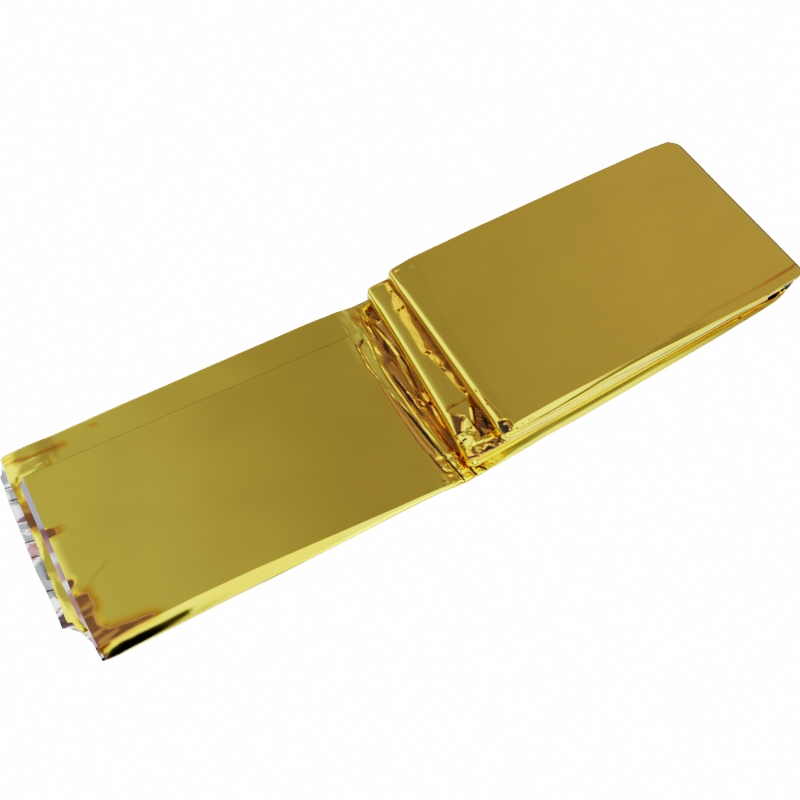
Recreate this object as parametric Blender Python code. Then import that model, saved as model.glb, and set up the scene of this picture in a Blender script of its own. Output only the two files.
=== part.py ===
"""Emergency foil blanket, part unfolded.

The film is folded lengthwise into one long flat strip, and the strip is folded to and fro into
short sections.  The first section has been opened out and lies on the surface; the rest is a low
stack that the strip enters from below, wrapping round its far end up to the top.

X runs along the opened section towards the stack, Y across the strip, +Z up.  The origin is the
centre of the footprint on the surface.  Metres.
"""

import math

import bmesh
import bpy

MM = 0.001

# ---- the strip, in mm: a film folded over along its front side, so it has two plies ----
STRIP_W = 80.0  # across the strip, side to side
PLY_T = 1.0  # one ply: the loose film layers of half the strip
PLY_GAP = 0.4  # air between the two plies where the strip lies flat
PLY_GAP_END = 1.7  # the same at the free end, where the plies spring apart
UPPER_EDGE_Y = 28.5  # long edge of the upper ply, short of the strip's back side
UPPER_Y = (UPPER_EDGE_Y, 21.0, 14.0, 7.0, 0.0, -7.0, -14.0, -21.0, -30.0)
FOLD_STEPS = 6  # segments round the front fold

# ---- the opened section ----
UPPER_END_X = -140.5  # free end of the upper ply
HINGE_X0 = -22.0  # the old fold, now a creased band: its left and right limits
HINGE_X1 = -3.0
STACK_TURN = math.radians(2.8)  # the stack lies turned by this much against the section

# Free end of the lower ply: it reaches past the upper one, except next to the front fold.
LOWER_END = (
    # y, x of the end
    dict(y=-38.8, x=-140.8),
    dict(y=-30.5, x=-142.0),
    dict(y=-27.5, x=-147.2),
    dict(y=-8.0, x=-149.0),
    dict(y=12.0, x=-148.8),
    dict(y=30.0, x=-148.2),
    dict(y=37.0, x=-146.6),
    dict(y=40.0, x=-144.6),
)

# At the free end the loose plies pucker: each row lifts or lowers one ply round a line along X,
# fading out over reach from the end.
PUCKERS = (
    dict(name="back_corner", ply="lower", y=40.0, lift=1.3, half_width=9.0, reach=34.0),
    dict(name="upper_back", ply="upper", y=22.0, lift=0.5, half_width=9.0, reach=30.0),
    dict(name="upper_dip", ply="upper", y=7.0, lift=-0.6, half_width=7.0, reach=16.0),
    dict(name="upper_ridge", ply="upper", y=-6.0, lift=0.7, half_width=8.0, reach=24.0),
    dict(name="upper_fold", ply="upper", y=-21.0, lift=-0.5, half_width=6.0, reach=14.0),
    dict(name="upper_front", ply="upper", y=-30.0, lift=0.4, half_width=5.0, reach=30.0),
)

# Creases left in the band of the old fold, low ridges that run a little askew across the strip.
CREASES = (
    dict(name="outer", x_back=-19.0, x_front=-20.0, height=0.6, half_width=1.8),
    dict(name="middle", x_back=-14.5, x_front=-16.5, height=1.1, half_width=2.2),
    dict(name="inner", x_back=-10.0, x_front=-13.6, height=0.7, half_width=1.8),
)

# ---- the stack: the passes of the strip, lowest first; z is the pass's mid height ----
PASS = {
    "floor": dict(z=1.2, shift_y=-0.9),
    "second": dict(z=4.6, shift_y=-0.7),
    "third": dict(z=8.0, shift_y=-0.3),
    "fourth": dict(z=11.4, shift_y=0.3),
    "top": dict(z=14.8, shift_y=1.2),
}

# The folds that join them.  x is the fold's outermost point on the strip's middle line, and skew
# is how far that moves along X for each mm towards the back.
FOLDS = (
    dict(name="wrap", side="right", start="floor", end="top", x=149.6, skew=0.015),
    dict(name="upper_left", side="left", start="top", end="fourth", x=2.1, skew=0.046),
    dict(name="inner_right", side="right", start="fourth", end="third", x=138.0, skew=0.0),
    dict(name="lower_left", side="left", start="third", end="second", x=-7.2, skew=0.105),
)
TAIL_X = 131.0  # where the strip ends, inside the stack
WRAP_STEPS = 14
TURN_STEPS = 8

HALF_T = PLY_T + PLY_GAP / 2.0  # half the thickness of the flat strip


def smooth(t):
    t = min(1.0, max(0.0, t))
    return t * t * (3.0 - 2.0 * t)


def table_value(rows, key, at, value):
    """Linear reading of a table whose rows rise in `key`."""
    if at <= rows[0][key]:
        return rows[0][value]
    for low, high in zip(rows, rows[1:]):
        if at <= high[key]:
            part = (at - low[key]) / (high[key] - low[key])
            return low[value] + part * (high[value] - low[value])
    return rows[-1][value]


def section():
    """Points across the strip, from the upper ply's edge over the front fold to the back side:
    (ply, y, n), where n is -1 on the lower ply, +1 on the upper, and turns between them."""
    front = -STRIP_W / 2.0 + HALF_T
    points = [("upper", y, 1.0) for y in UPPER_Y]
    for step in range(FOLD_STEPS + 1):
        angle = math.pi * step / FOLD_STEPS
        points.append(("fold", front - math.sin(angle), math.cos(angle)))
    points += [("lower", row["y"], -1.0) for row in LOWER_END[1:]]
    return points


def end_of(ply, y, n):
    """Where the free end lies for a point of the section."""
    if ply == "upper":
        return UPPER_END_X
    if ply == "fold":
        return UPPER_END_X + 1.0 - 1.3 * (1.0 - n) / 2.0
    return table_value(LOWER_END, "y", y, "x")


def pucker_lift(ply, x, y, end_x):
    lift = 0.0
    for row in PUCKERS:
        across = abs(y - row["y"]) / row["half_width"]
        along = (x - end_x) / row["reach"]
        if row["ply"] == ply and across < 1.0 and along < 1.0:
            lift += row["lift"] * math.cos(across * math.pi / 2.0) ** 2 * smooth(1.0 - along)
    return lift


def crease_lift(x, y):
    lift = 0.0
    for row in CREASES:
        across = (y + STRIP_W / 2.0) / STRIP_W
        middle = row["x_front"] + across * (row["x_back"] - row["x_front"])
        off = abs(x - middle) / row["half_width"]
        if off < 1.0:
            lift = max(lift, row["height"] * math.cos(off * math.pi / 2.0) ** 2)
    return lift


def strip_line(x):
    """The middle line of the strip on the surface: x, y and heading. It bends in the creased
    band, and is straight along X before it and straight at STACK_TURN after it."""
    if x >= HINGE_X1:
        return x * math.cos(STACK_TURN), x * math.sin(STACK_TURN), STACK_TURN
    steps = 24
    low = max(x, HINGE_X0)
    px = HINGE_X1 * math.cos(STACK_TURN)
    py = HINGE_X1 * math.sin(STACK_TURN)
    length = (HINGE_X1 - low) / steps
    heading = STACK_TURN
    for step in range(steps):
        at = HINGE_X1 - (step + 0.5) * length
        heading = STACK_TURN * smooth((at - HINGE_X0) / (HINGE_X1 - HINGE_X0))
        px -= length * math.cos(heading)
        py -= length * math.sin(heading)
    if x < HINGE_X0:
        return px - (HINGE_X0 - x), py, 0.0
    return px, py, heading


def on_floor(x, y, z):
    px, py, heading = strip_line(x)
    return px - y * math.sin(heading), py + y * math.cos(heading), z


def in_stack(x, y, z):
    turn_cos, turn_sin = math.cos(STACK_TURN), math.sin(STACK_TURN)
    return x * turn_cos - y * turn_sin, x * turn_sin + y * turn_cos, z


def opened_rows(points):
    """Rows of points from the free end to the start of the stack, on the surface."""
    rows = []
    for part in (0.0, 0.03, 0.07, 0.12, 0.18, 0.26, 0.38, 0.54, 0.76, 1.0):
        row = []
        for ply, y, n in points:
            x = end_of(ply, y, n) * (1.0 - part) + HINGE_X0 * part
            gap = PLY_GAP_END + (PLY_GAP - PLY_GAP_END) * smooth((x - UPPER_END_X) / 95.0)
            radius = (PLY_T + gap) / 2.0
            front = (-STRIP_W / 2.0 + PLY_T / 2.0 + radius) if ply == "fold" else None
            at_y = y if front is None else front + (y + STRIP_W / 2.0 - HALF_T) * radius
            lift = pucker_lift(ply, x, y, end_of(ply, y, n))
            row.append(on_floor(x, at_y, PLY_T / 2.0 + radius + n * radius + lift))
        rows.append(row)
    radius = (PLY_T + PLY_GAP) / 2.0
    bands = [HINGE_X0 + 1.1 * step for step in range(1, 13)] + [-6.0, 2.0, 12.0]
    for x in bands:
        row = []
        for ply, y, n in points:
            at_y = y + PASS["floor"]["shift_y"] * smooth((x - HINGE_X0) / 20.0)
            at_y = fold_y(ply, y, at_y - y)
            z = PLY_T / 2.0 + radius + n * radius + crease_lift(x, y)
            row.append(on_floor(x, at_y, z))
        rows.append(row)
    return rows


def fold_y(ply, y, shift):
    """y of a section point in the flat strip, moved sideways."""
    radius = (PLY_T + PLY_GAP) / 2.0
    if ply == "fold":
        front = -STRIP_W / 2.0 + HALF_T
        return front + (y - front) * radius + shift
    return y + shift


def pass_row(points, x, z, heading, shift, skew):
    """One row of points across the strip, inside the stack. heading is the angle of the strip's
    run in the XZ plane: 0 towards +X, pi towards -X."""
    radius = (PLY_T + PLY_GAP) / 2.0
    row = []
    for ply, y, n in points:
        at_y = fold_y(ply, y, shift)
        at_x = x - math.sin(heading) * n * radius + skew * at_y
        row.append(in_stack(at_x, at_y, z + math.cos(heading) * n * radius))
    return row


def stack_rows(points):
    rows = []
    heading = 0.0
    for index, fold in enumerate(FOLDS):
        start, end = PASS[fold["start"]], PASS[fold["end"]]
        radius = abs(end["z"] - start["z"]) / 2.0
        reach = radius + HALF_T
        right = fold["side"] == "right"
        centre_x = fold["x"] - reach if right else fold["x"] + reach
        middle_z = (start["z"] + end["z"]) / 2.0
        turn = math.pi if (end["z"] > start["z"]) == right else -math.pi
        # the straight run that leads into the fold
        if index:
            before = FOLDS[index - 1]
            for part in (0.25, 0.5, 0.75):
                x = last_x + (centre_x - last_x) * part
                skew = before["skew"] + (fold["skew"] - before["skew"]) * part
                rows.append(pass_row(points, x, start["z"], heading, start["shift_y"], skew))
        else:
            for x in (45.0, 95.0):
                rows.append(pass_row(points, x, start["z"], heading, start["shift_y"], 0.0))
        steps = WRAP_STEPS if radius > 5.0 else TURN_STEPS
        for step in range(steps + 1):
            part = step / steps
            angle = heading + turn * part
            side = 1.0 if turn > 0 else -1.0
            x = centre_x + side * radius * math.sin(angle)
            z = middle_z - side * radius * math.cos(angle)
            shift = start["shift_y"] + (end["shift_y"] - start["shift_y"]) * part
            rows.append(pass_row(points, x, z, angle, shift, fold["skew"]))
        heading += turn
        last_x = centre_x
    level = PASS[FOLDS[-1]["end"]]
    for part in (0.2, 0.5, 0.75, 1.0):
        x = last_x + (TAIL_X - last_x) * part
        skew = FOLDS[-1]["skew"] * (1.0 - part)
        rows.append(pass_row(points, x, level["z"], heading, level["shift_y"], skew))
    return rows


def centred(rows):
    """Moves the origin to the middle of the footprint. The ply's own half thickness counts at
    the wrap and at the front fold, and not at the cut edges."""
    flat = [point for row in rows for point in row]
    grow = PLY_T / 2.0
    middle_x = (min(p[0] for p in flat) + max(p[0] for p in flat) + grow) / 2.0
    middle_y = (min(p[1] for p in flat) - grow + max(p[1] for p in flat)) / 2.0
    return [[(x - middle_x, y - middle_y, z) for x, y, z in row] for row in rows]


def film_material():
    material = bpy.data.materials.new("gold_film")
    material.use_nodes = True
    shader = material.node_tree.nodes["Principled BSDF"]
    shader.inputs["Base Color"].default_value = (0.80, 0.62, 0.16, 1.0)
    shader.inputs["Metallic"].default_value = 1.0
    shader.inputs["Roughness"].default_value = 0.12
    return material


def build_blanket():
    points = section()
    rows = centred(opened_rows(points) + stack_rows(points))
    mesh = bpy.data.meshes.new("foil_blanket")
    net = bmesh.new()
    grid = [[net.verts.new([c * MM for c in point]) for point in row] for row in rows]
    for row, after in zip(grid, grid[1:]):
        for k in range(len(row) - 1):
            net.faces.new((row[k], row[k + 1], after[k + 1], after[k]))
    bmesh.ops.recalc_face_normals(net, faces=net.faces)
    net.to_mesh(mesh)
    net.free()
    blanket = bpy.data.objects.new("foil_blanket", mesh)
    bpy.context.scene.collection.objects.link(blanket)
    mesh.shade_smooth()
    mesh.materials.append(film_material())
    walls = blanket.modifiers.new("ply thickness", "SOLIDIFY")
    walls.thickness = PLY_T * MM
    walls.offset = 0.0
    walls.use_rim = True
    return blanket


def clear_scene():
    for item in list(bpy.data.objects):
        bpy.data.objects.remove(item, do_unlink=True)


clear_scene()
build_blanket()
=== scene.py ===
"""Looks of the emergency foil blanket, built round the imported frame.

The film is one sheet: folded in half with its gold face out, turned over and over into a narrow
strip, and folded to and fro into sections.  The mesh follows that route: a fine outer film, which
is what shows, its silver inner film, and the many layers wound up inside.
"""

import math

import bpy
import numpy as np
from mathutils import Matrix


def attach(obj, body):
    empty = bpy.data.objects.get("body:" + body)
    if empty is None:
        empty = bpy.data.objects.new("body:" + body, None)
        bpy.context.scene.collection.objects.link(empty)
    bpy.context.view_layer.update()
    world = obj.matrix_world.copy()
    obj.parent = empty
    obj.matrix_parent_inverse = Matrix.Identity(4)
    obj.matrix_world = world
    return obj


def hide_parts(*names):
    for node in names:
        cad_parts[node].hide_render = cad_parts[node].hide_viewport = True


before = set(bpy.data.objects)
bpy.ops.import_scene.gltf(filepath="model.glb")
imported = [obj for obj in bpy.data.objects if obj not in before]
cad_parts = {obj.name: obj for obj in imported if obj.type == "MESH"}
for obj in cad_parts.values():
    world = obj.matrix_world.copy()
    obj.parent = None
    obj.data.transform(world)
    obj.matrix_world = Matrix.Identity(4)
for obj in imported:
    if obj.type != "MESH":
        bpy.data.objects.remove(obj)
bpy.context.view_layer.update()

# ---------------------------------------------------------------- the strip's route, in mm
CENTRE = (0.8715, 3.5149)  # part.py's shift of the origin
TURN = math.radians(2.8)  # the stack lies turned by this against the opened section
HINGE_X0, HINGE_X1 = -22.0, -3.0
LEVEL = {"floor": 1.2, "second": 4.6, "third": 8.0, "fourth": 11.4, "top": 14.8}
EDGE_Y = 28.5  # long cut edge of the uppermost film

COS_T, SIN_T = math.cos(TURN), math.sin(TURN)


def smooth(t):
    t = np.clip(t, 0.0, 1.0)
    return t * t * (3.0 - 2.0 * t)


def bend_table():
    at = np.linspace(HINGE_X0, HINGE_X1, 400)
    heading = TURN * smooth((at - HINGE_X0) / (HINGE_X1 - HINGE_X0))
    step = at[1] - at[0]
    px = HINGE_X1 * COS_T - np.concatenate([np.cumsum((np.cos(heading) * step)[:0:-1])[::-1], [0.0]])
    py = HINGE_X1 * SIN_T - np.concatenate([np.cumsum((np.sin(heading) * step)[:0:-1])[::-1], [0.0]])
    return at, px, py, heading


BEND = bend_table()


def placed(x, y, z):
    """Strip coordinates to the part's frame, in metres: straight up to the old fold, turned after it."""
    at, bx, by, bh = BEND
    px = np.interp(x, at, bx) + np.where(x < HINGE_X0, x - HINGE_X0, 0.0)
    px = np.where(x > HINGE_X1, x * COS_T, px)
    py = np.where(x > HINGE_X1, x * SIN_T, np.interp(x, at, by))
    heading = np.interp(x, at, bh)
    wx = px - y * np.sin(heading) - CENTRE[0]
    wy = py + y * np.cos(heading) - CENTRE[1]
    return np.stack([wx, wy, z], axis=-1) * 0.001


# ---------------------------------------------------------------- small shapes in the film
def tri(t):
    return 4.0 * np.abs((t + 0.25) % 1.0 - 0.5) - 1.0


def facets(x, y, size, seed, waves=3, bend=0.35):
    """Crumpled foil: flat facets that meet in sharp straight creases. About -1 to 1."""
    rng = np.random.RandomState(seed)
    total = np.zeros(np.broadcast(x, y).shape)
    for _ in range(waves):
        a, span, phase = rng.uniform(0, math.pi), size * rng.uniform(0.75, 1.5), rng.uniform(0, 1)
        b, far, more = rng.uniform(0, math.pi), size * rng.uniform(2.0, 3.5), rng.uniform(0, 6.28)
        warp = bend * np.sin((x * math.cos(b) + y * math.sin(b)) * 6.283 / far + more)
        total = total + tri((x * math.cos(a) + y * math.sin(a)) / span + phase + warp) * span / size
    return total / waves


def waves(x, y, size, seed, count=5):
    """Smooth low undulations. About -1 to 1."""
    rng = np.random.RandomState(seed)
    total = np.zeros(np.broadcast(x, y).shape)
    for _ in range(count):
        a, span, phase = rng.uniform(0, 2 * math.pi), size * rng.uniform(0.7, 1.8), rng.uniform(0, 6.28)
        total = total + np.sin((x * math.cos(a) + y * math.sin(a)) * 6.283 / span + phase)
    return total / math.sqrt(count) * 0.7


def bump(x, y, cx, cy, rx, ry, height, turn=0.0):
    c, s = math.cos(turn), math.sin(turn)
    u, v = ((x - cx) * c + (y - cy) * s) / rx, (-(x - cx) * s + (y - cy) * c) / ry
    return height * smooth(1.0 - np.sqrt(u * u + v * v))


def window(t, low, high, soft):
    return smooth((t - low) / soft) * smooth((high - t) / soft)


def table(value, pairs):
    at, to = zip(*pairs)
    order = np.argsort(at)
    return np.interp(value, np.array(at, float)[order], np.array(to, float)[order])


class Sheetwork:
    """Creases drawn over part of the film: how far it lifts off its level, and its tone, which is painted
    light: 0 where the film shows its own colour, rising through painted orange and brown reflections to
    1 for painted black shade in a closed crease, and below 0 painted shade alone."""

    def __init__(self, x, y):
        self.x, self.y = x, y
        self.lift = np.zeros(np.broadcast(x, y).shape)
        self.tone = np.zeros_like(self.lift)

    def _along(self, points, half):
        """Half-width less distance to the line, at its best, and where along it that is."""
        count = len(points)
        wide = np.interp(np.linspace(0, 1, count), np.linspace(0, 1, np.size(half)), np.atleast_1d(half))
        lengths = [max(1e-6, math.dist(a, b)) for a, b in zip(points, points[1:])]
        whole, run = sum(lengths), 0.0
        best = np.full(self.lift.shape, -1e9)
        share = np.zeros(self.lift.shape)
        width = np.full(self.lift.shape, 1.0)
        for k, length in enumerate(lengths):
            (ax, ay), (bx, by) = points[k], points[k + 1]
            dx, dy = (bx - ax) / length, (by - ay) / length
            part = np.clip(((self.x - ax) * dx + (self.y - ay) * dy) / length, 0.0, 1.0)
            off = np.hypot(self.x - ax - part * length * dx, self.y - ay - part * length * dy)
            w = wide[k] + (wide[k + 1] - wide[k]) * part
            near = w - off > best
            best = np.where(near, w - off, best)
            share = np.where(near, (run + part * length) / whole, share)
            width = np.where(near, w, width)
            run += length
        return best, share, width

    def ridge(self, points, half, height, ends=0.15):
        """A fold with flat sides, raised or sunk."""
        best, share, width = self._along(points, half)
        fade = smooth(share / ends) * smooth((1.0 - share) / ends) if ends else 1.0
        self.lift += height * np.clip(best / np.maximum(width, 1e-6), 0.0, 1.0) * fade

    def stroke(self, points, half, tone, soft=0.3, fade=0.0):
        """A line of one tone. fade softens its two ends by that share of its length."""
        best, share, _ = self._along(points, half)
        mask = np.clip(best / soft + 0.5, 0.0, 1.0)
        if fade:
            mask = mask * smooth(share / fade) * smooth((1.0 - share) / fade)
        self.tone += (tone - self.tone) * mask

    def crease(self, points, half, tone, height, soft=0.3, fade=0.0, spread=1.7):
        self.ridge(points, np.atleast_1d(half) * spread, height)
        self.stroke(points, half, tone, soft, fade)

    def inside(self, points, soft):
        """1 well inside an outline, 0 outside it."""
        odd = np.zeros(self.lift.shape, bool)
        near = np.full(self.lift.shape, 1e9)
        x, y = self.x + 0.0 * self.y, self.y + 0.0 * self.x
        for (ax, ay), (bx, by) in zip(points, points[1:] + points[:1]):
            if ay != by:
                cut = ax + (y - ay) * (bx - ax) / (by - ay)
                odd ^= ((ay > y) != (by > y)) & (x < cut)
            length = max(1e-6, math.dist((ax, ay), (bx, by)))
            dx, dy = (bx - ax) / length, (by - ay) / length
            part = np.clip((x - ax) * dx + (y - ay) * dy, 0.0, length)
            near = np.minimum(near, np.hypot(x - ax - part * dx, y - ay - part * dy))
        return np.clip(np.where(odd, near, -near) / soft + 0.5, 0.0, 1.0)

    def facet(self, points, tone=None, lift=0.0, slope=(0.0, 0.0), soft=0.4):
        """A flat facet with its own height, slope and tone."""
        mask = self.inside(list(points), soft)
        cx, cy = np.mean([p[0] for p in points]), np.mean([p[1] for p in points])
        self.lift += mask * (lift + slope[0] * (self.x - cx) + slope[1] * (self.y - cy))
        if tone is not None:
            self.tone += (tone - self.tone) * mask


# ---------------------------------------------------------------- the opened section's free end
UPPER_FALL = ((30, 0.05), (20, 0.02), (9.5, 0.0), (8.4, 0.03), (7.2, 0.10), (5.0, 0.10), (3.2, 0.11), (0, 0.11), (-9, 0.12),
              (-12.0, 0.10), (-13.4, 0.02), (-15.0, 0.06), (-17.0, 0.10), (-30, 0.13), (-36, 0.10))
# (y, tone) and (y, fall) down the next turn's cut end, and down the inner film that sticks out furthest; the tones are
# painted brown reflections and painted shade
NEXT_TONE = ((40, 0), (27.6, 0), (27.0, 0.55), (24.2, 0.70), (23.2, 0.30), (22.0, 0.62), (19, 0.62), (15.5, 0.82), (11.0, 0.84),
             (9.3, 0.66), (8.6, 0.1), (8.2, 0), (-22.6, 0), (-23.2, 0.60), (-24.9, 0.82), (-25.3, 0.2), (-25.9, 0.25), (-26.3, 0.97), (-34, 0.97))
NEXT_FALL = ((40, 0.28), (27.8, 0.28), (27.0, 0.04), (24.0, 0.10), (23.2, 0.30), (22.0, 0.04), (9.4, 0.03), (8.4, 0.27), (6.6, 0.27),
             (6.0, 0.02), (3.0, 0.02), (2.4, 0.27), (1.1, 0.27), (0.5, 0.02), (-8.2, 0.02), (-8.8, 0.27), (-11.3, 0.27), (-11.9, 0.02),
             (-17.1, 0.02), (-17.8, 0.28), (-22.8, 0.28), (-23.6, 0.05), (-25.2, 0.05), (-25.7, 0.3), (-26.2, 0.05), (-34, 0.05))
LINING_TONE = ((40, 0), (22.5, 0), (17.2, 0), (16.6, 0.62), (15.2, 0.78), (14.4, 0.35), (11.2, 0.25), (10.7, 1.0), (10.1, 0.9), (9.6, 0.05),
               (6.4, 0.0), (5.8, 0.36), (0.0, 0.42), (-0.7, 0.1), (-1.1, 0), (-16.9, 0), (-17.5, 0.9), (-18.4, 0.1), (-18.9, 0.95),
               (-19.6, 0.3), (-20.2, 1.0), (-22.4, 1.0), (-22.9, 0.1), (-24.0, 0.5), (-24.5, 0.0), (-30, 0.2))
LINING_FALL = ((40, 0.04), (30.3, 0.04), (29.8, 0.30), (28.2, 0.30), (27.6, 0.03), (22.2, 0.02), (21.6, 0.32), (17.4, 0.32), (16.8, 0.0),
               (7.2, 0.02), (6.8, 0.3), (6.2, 0.3), (5.8, 0.02), (-0.2, 0.02), (-0.5, 0.3), (-1.0, 0.3), (-1.3, 0.02), (-13.4, 0.02),
               (-14.0, 0.34), (-16.8, 0.34), (-17.4, 0.1), (-18.2, 0.35), (-19.0, 0.0), (-19.8, 0.3), (-20.6, 0.0), (-30, 0.3))
# (y, tone) down the silver edge that shows beside the uppermost film
EDGE_TONE = ((40, 0), (9.8, 0.0), (9.0, 0.62), (4, 0.70), (-0.4, 0.60), (-0.9, 0.06), (-3.4, 0.06), (-4.0, 0.55), (-10.6, 0.60),
             (-11.0, 0.05), (-14.2, 0.08), (-14.9, 0.60), (-22.5, 0.66), (-24.0, 0.40), (-26.2, 0.40), (-26.8, 0), (-29.6, 0),
             (-30.2, 0.52), (-34.4, 0.56), (-34.9, 0), (-37.4, 0), (-37.8, 0.4), (-41, 0.4))


def falling(away, slope, length):
    """A sheet that bends down to its cut end: slope there, level again at length away from it."""
    share = np.clip(1.0 - away / length, 0.0, 1.0)
    return -slope * length / 2.0 * share * share


def upper_end(work, end):
    """The uppermost film of the opened section, up to its cut end: broad undulations, then puckers."""
    x, y = work.x, work.y
    away = x - end
    work.lift += 0.20 * waves(x * 0.55, y, 46.0, 11) * smooth((away + 4) / 30.0)
    work.lift += 0.09 * waves(x * 0.6, y, 26.0, 5) * smooth((-30 - x) / 60.0)
    length = 6.0 - 1.0 * smooth((y - 2.0) / 5.0) + 3.0 * smooth((-16.0 - y) / 4.0)
    work.lift += falling(away, table(y, UPPER_FALL), length)
    # a sharp groove with a painted brown reflection streaked in it, and a bright ridge under it
    work.ridge([(-143.5, 6.9), (-139.0, 6.6), (-133.0, 6.3)], (2.1, 1.7, 0.6), -0.13)
    inner = window(y, 4.3 + 0.02 * (away - 3), 8.4 - 0.16 * away, 0.35)
    work.tone = np.maximum(work.tone, 0.85 * inner * smooth(1.25 - away / 6.2))
    work.ridge([(-143.0, 3.3), (-139.0, 2.9), (-134.0, 2.6)], (1.6, 1.3, 0.5), 0.09)
    # a pocket painted dark with painted shade, then the pale ridge that runs in from it
    pocket = bump(x, y, end - 0.5, -12.6, 4.6, 2.9, 1.0, 0.45)
    work.lift -= 0.22 * pocket
    work.tone = np.maximum(work.tone, 0.90 * smooth(pocket * 1.7))
    work.ridge([(-142.5, -16.9), (-138.5, -15.0), (-133.0, -12.0), (-128, -9.6)], (1.0, 1.4, 1.3, 0.9), 0.13, 0.2)
    # the front corner falls away, painted with a dark brown reflection, with fine raised wisps in it painted a lighter
    # orange-brown
    corner = work.inside([(-143.0, -15.6), (-136.6, -15.9), (-136.1, -19.1), (-135.8, -22.8), (-137.2, -24.4), (-137.3, -27.5), (-135.5, -29.6), (-130.0, -30.6),
                          (-124.3, -31.2), (-120.0, -33.0), (-122.0, -35.0), (-143.0, -36.0)], 4.5)
    work.tone = np.maximum(work.tone, (0.83 + 0.04 * waves(x, y, 5.0, 33)) * smooth(corner) * smooth((y + 36.0) / 1.0))
    work.lift -= 0.22 * smooth(1.0 - away / 14.0) * smooth((-15.0 - y) / 22.0)
    for wisp, half, height in (
        ([(-142.5, -21.6), (-139.0, -21.3), (-134.5, -20.0)], (0.7, 0.5, 0.3), 0.16),
        ([(-142.5, -24.1), (-139.0, -24.0), (-136.5, -23.4)], (0.5, 0.4, 0.2), 0.10),
        ([(-142.0, -30.6), (-138.6, -30.2), (-135.5, -29.0)], (0.7, 0.6, 0.3), 0.14),
        ([(-142.0, -33.6), (-137.5, -33.0), (-132.0, -32.0)], (0.6, 0.8, 0.4), 0.12),
    ):
        work.ridge(wisp, np.array(half) * 1.6, 0.5 * height)
        work.stroke(wisp, half, 0.74, 0.8, 0.25)


def front_band(work):
    """The front of the opened section near its free end: a long lens-shaped painted black reflection in a bright band,
    with faint painted warm tints and a small painted dark brown reflection beside it.
    """
    work.facet([(-141.0, -36.3), (-110.5, -35.1), (-97.6, -34.2), (-97.6, -35.3), (-106.5, -35.3), (-113.0, -35.6), (-124.0, -35.9), (-134.0, -36.0)], tone=0.14, soft=0.8)
    work.facet([(-110.0, -36.4), (-104.0, -35.6), (-90.0, -34.8), (-60.0, -36.8), (-60.0, -41.0), (-125.0, -41.0), (-123.0, -38.6), (-114.0, -37.0)], tone=0.14, soft=1.2)
    work.facet([(-142.5, -36.5), (-139.0, -36.8), (-138.4, -38.2), (-141.0, -38.6)], tone=0.84, soft=0.5)
    # the lens: a painted black reflection
    lens = [(-139.6, -38.5), (-138.1, -37.5), (-135.1, -36.9), (-132.0, -36.3), (-126.5, -36.2), (-120.6, -36.3), (-114.1, -36.2), (-110.8, -36.8),
            (-113.0, -38.1), (-116.6, -38.35), (-119.6, -38.5), (-125.5, -38.7), (-134.1, -38.85), (-137.5, -39.0), (-139.35, -39.0)]
    work.facet(lens, tone=-1.15, soft=0.9)
    work.stroke([(-120.6, -37.6), (-120.3, -38.3)], 0.16, 0.2, 0.25)


def lining_marks(work):
    """The lining where it sticks out furthest: facets greyed with painted shade, darker tinted facets and two painted
    dark lines, between bright ones.
    """
    for facet, tone in (
        ([(-149.5, 35.0), (-144.0, 35.0), (-144.0, 29.8), (-149.5, 29.8)], -0.86),
        ([(-148.4, 27.5), (-144.0, 27.2), (-144.0, 20.9), (-146.5, 20.7), (-148.9, 22.0), (-147.9, 23.9), (-147.9, 26.0)], -0.86),
        ([(-148.7, 21.2), (-144.0, 20.2), (-144.0, 17.0), (-146.5, 17.2), (-148.9, 15.9)], -0.18),
        ([(-149.0, 15.9), (-144.0, 17.0), (-144.0, 13.0), (-146.6, 13.8), (-149.0, 15.1)], 0.82),
        ([(-148.6, 14.7), (-144.0, 13.2), (-144.0, 10.8), (-148.8, 12.0)], -0.84),
        ([(-148.9, 11.3), (-144.0, 10.6), (-144.0, 6.6), (-146.3, 6.8), (-148.4, 7.8), (-149.0, 9.1)], -0.86),
        ([(-147.9, 6.8), (-144.0, 5.3), (-144.0, 2.2), (-146.2, 1.9), (-148.7, 0.4), (-149.3, 5.2)], 0.66),
        ([(-149.5, -1.0), (-144.0, 0.9), (-144.0, -13.8), (-149.5, -13.2)], -0.84),
        ([(-149.5, -19.4), (-144.0, -18.6), (-144.0, -24.4), (-149.5, -24.0)], 0.92),
        ([(-149.5, -24.6), (-144.0, -25.0), (-144.0, -31.0), (-149.5, -30.0)], -0.80),
    ):
        work.facet(facet, tone=tone, soft=0.3)
    work.stroke([(-148.9, 12.0), (-147.6, 10.9), (-147.0, 10.1), (-146.0, 10.6)], 0.28, 1.0, 0.2)
    work.stroke([(-149.0, -17.9), (-146.0, -17.3)], 0.35, 0.95, 0.25)


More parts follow.
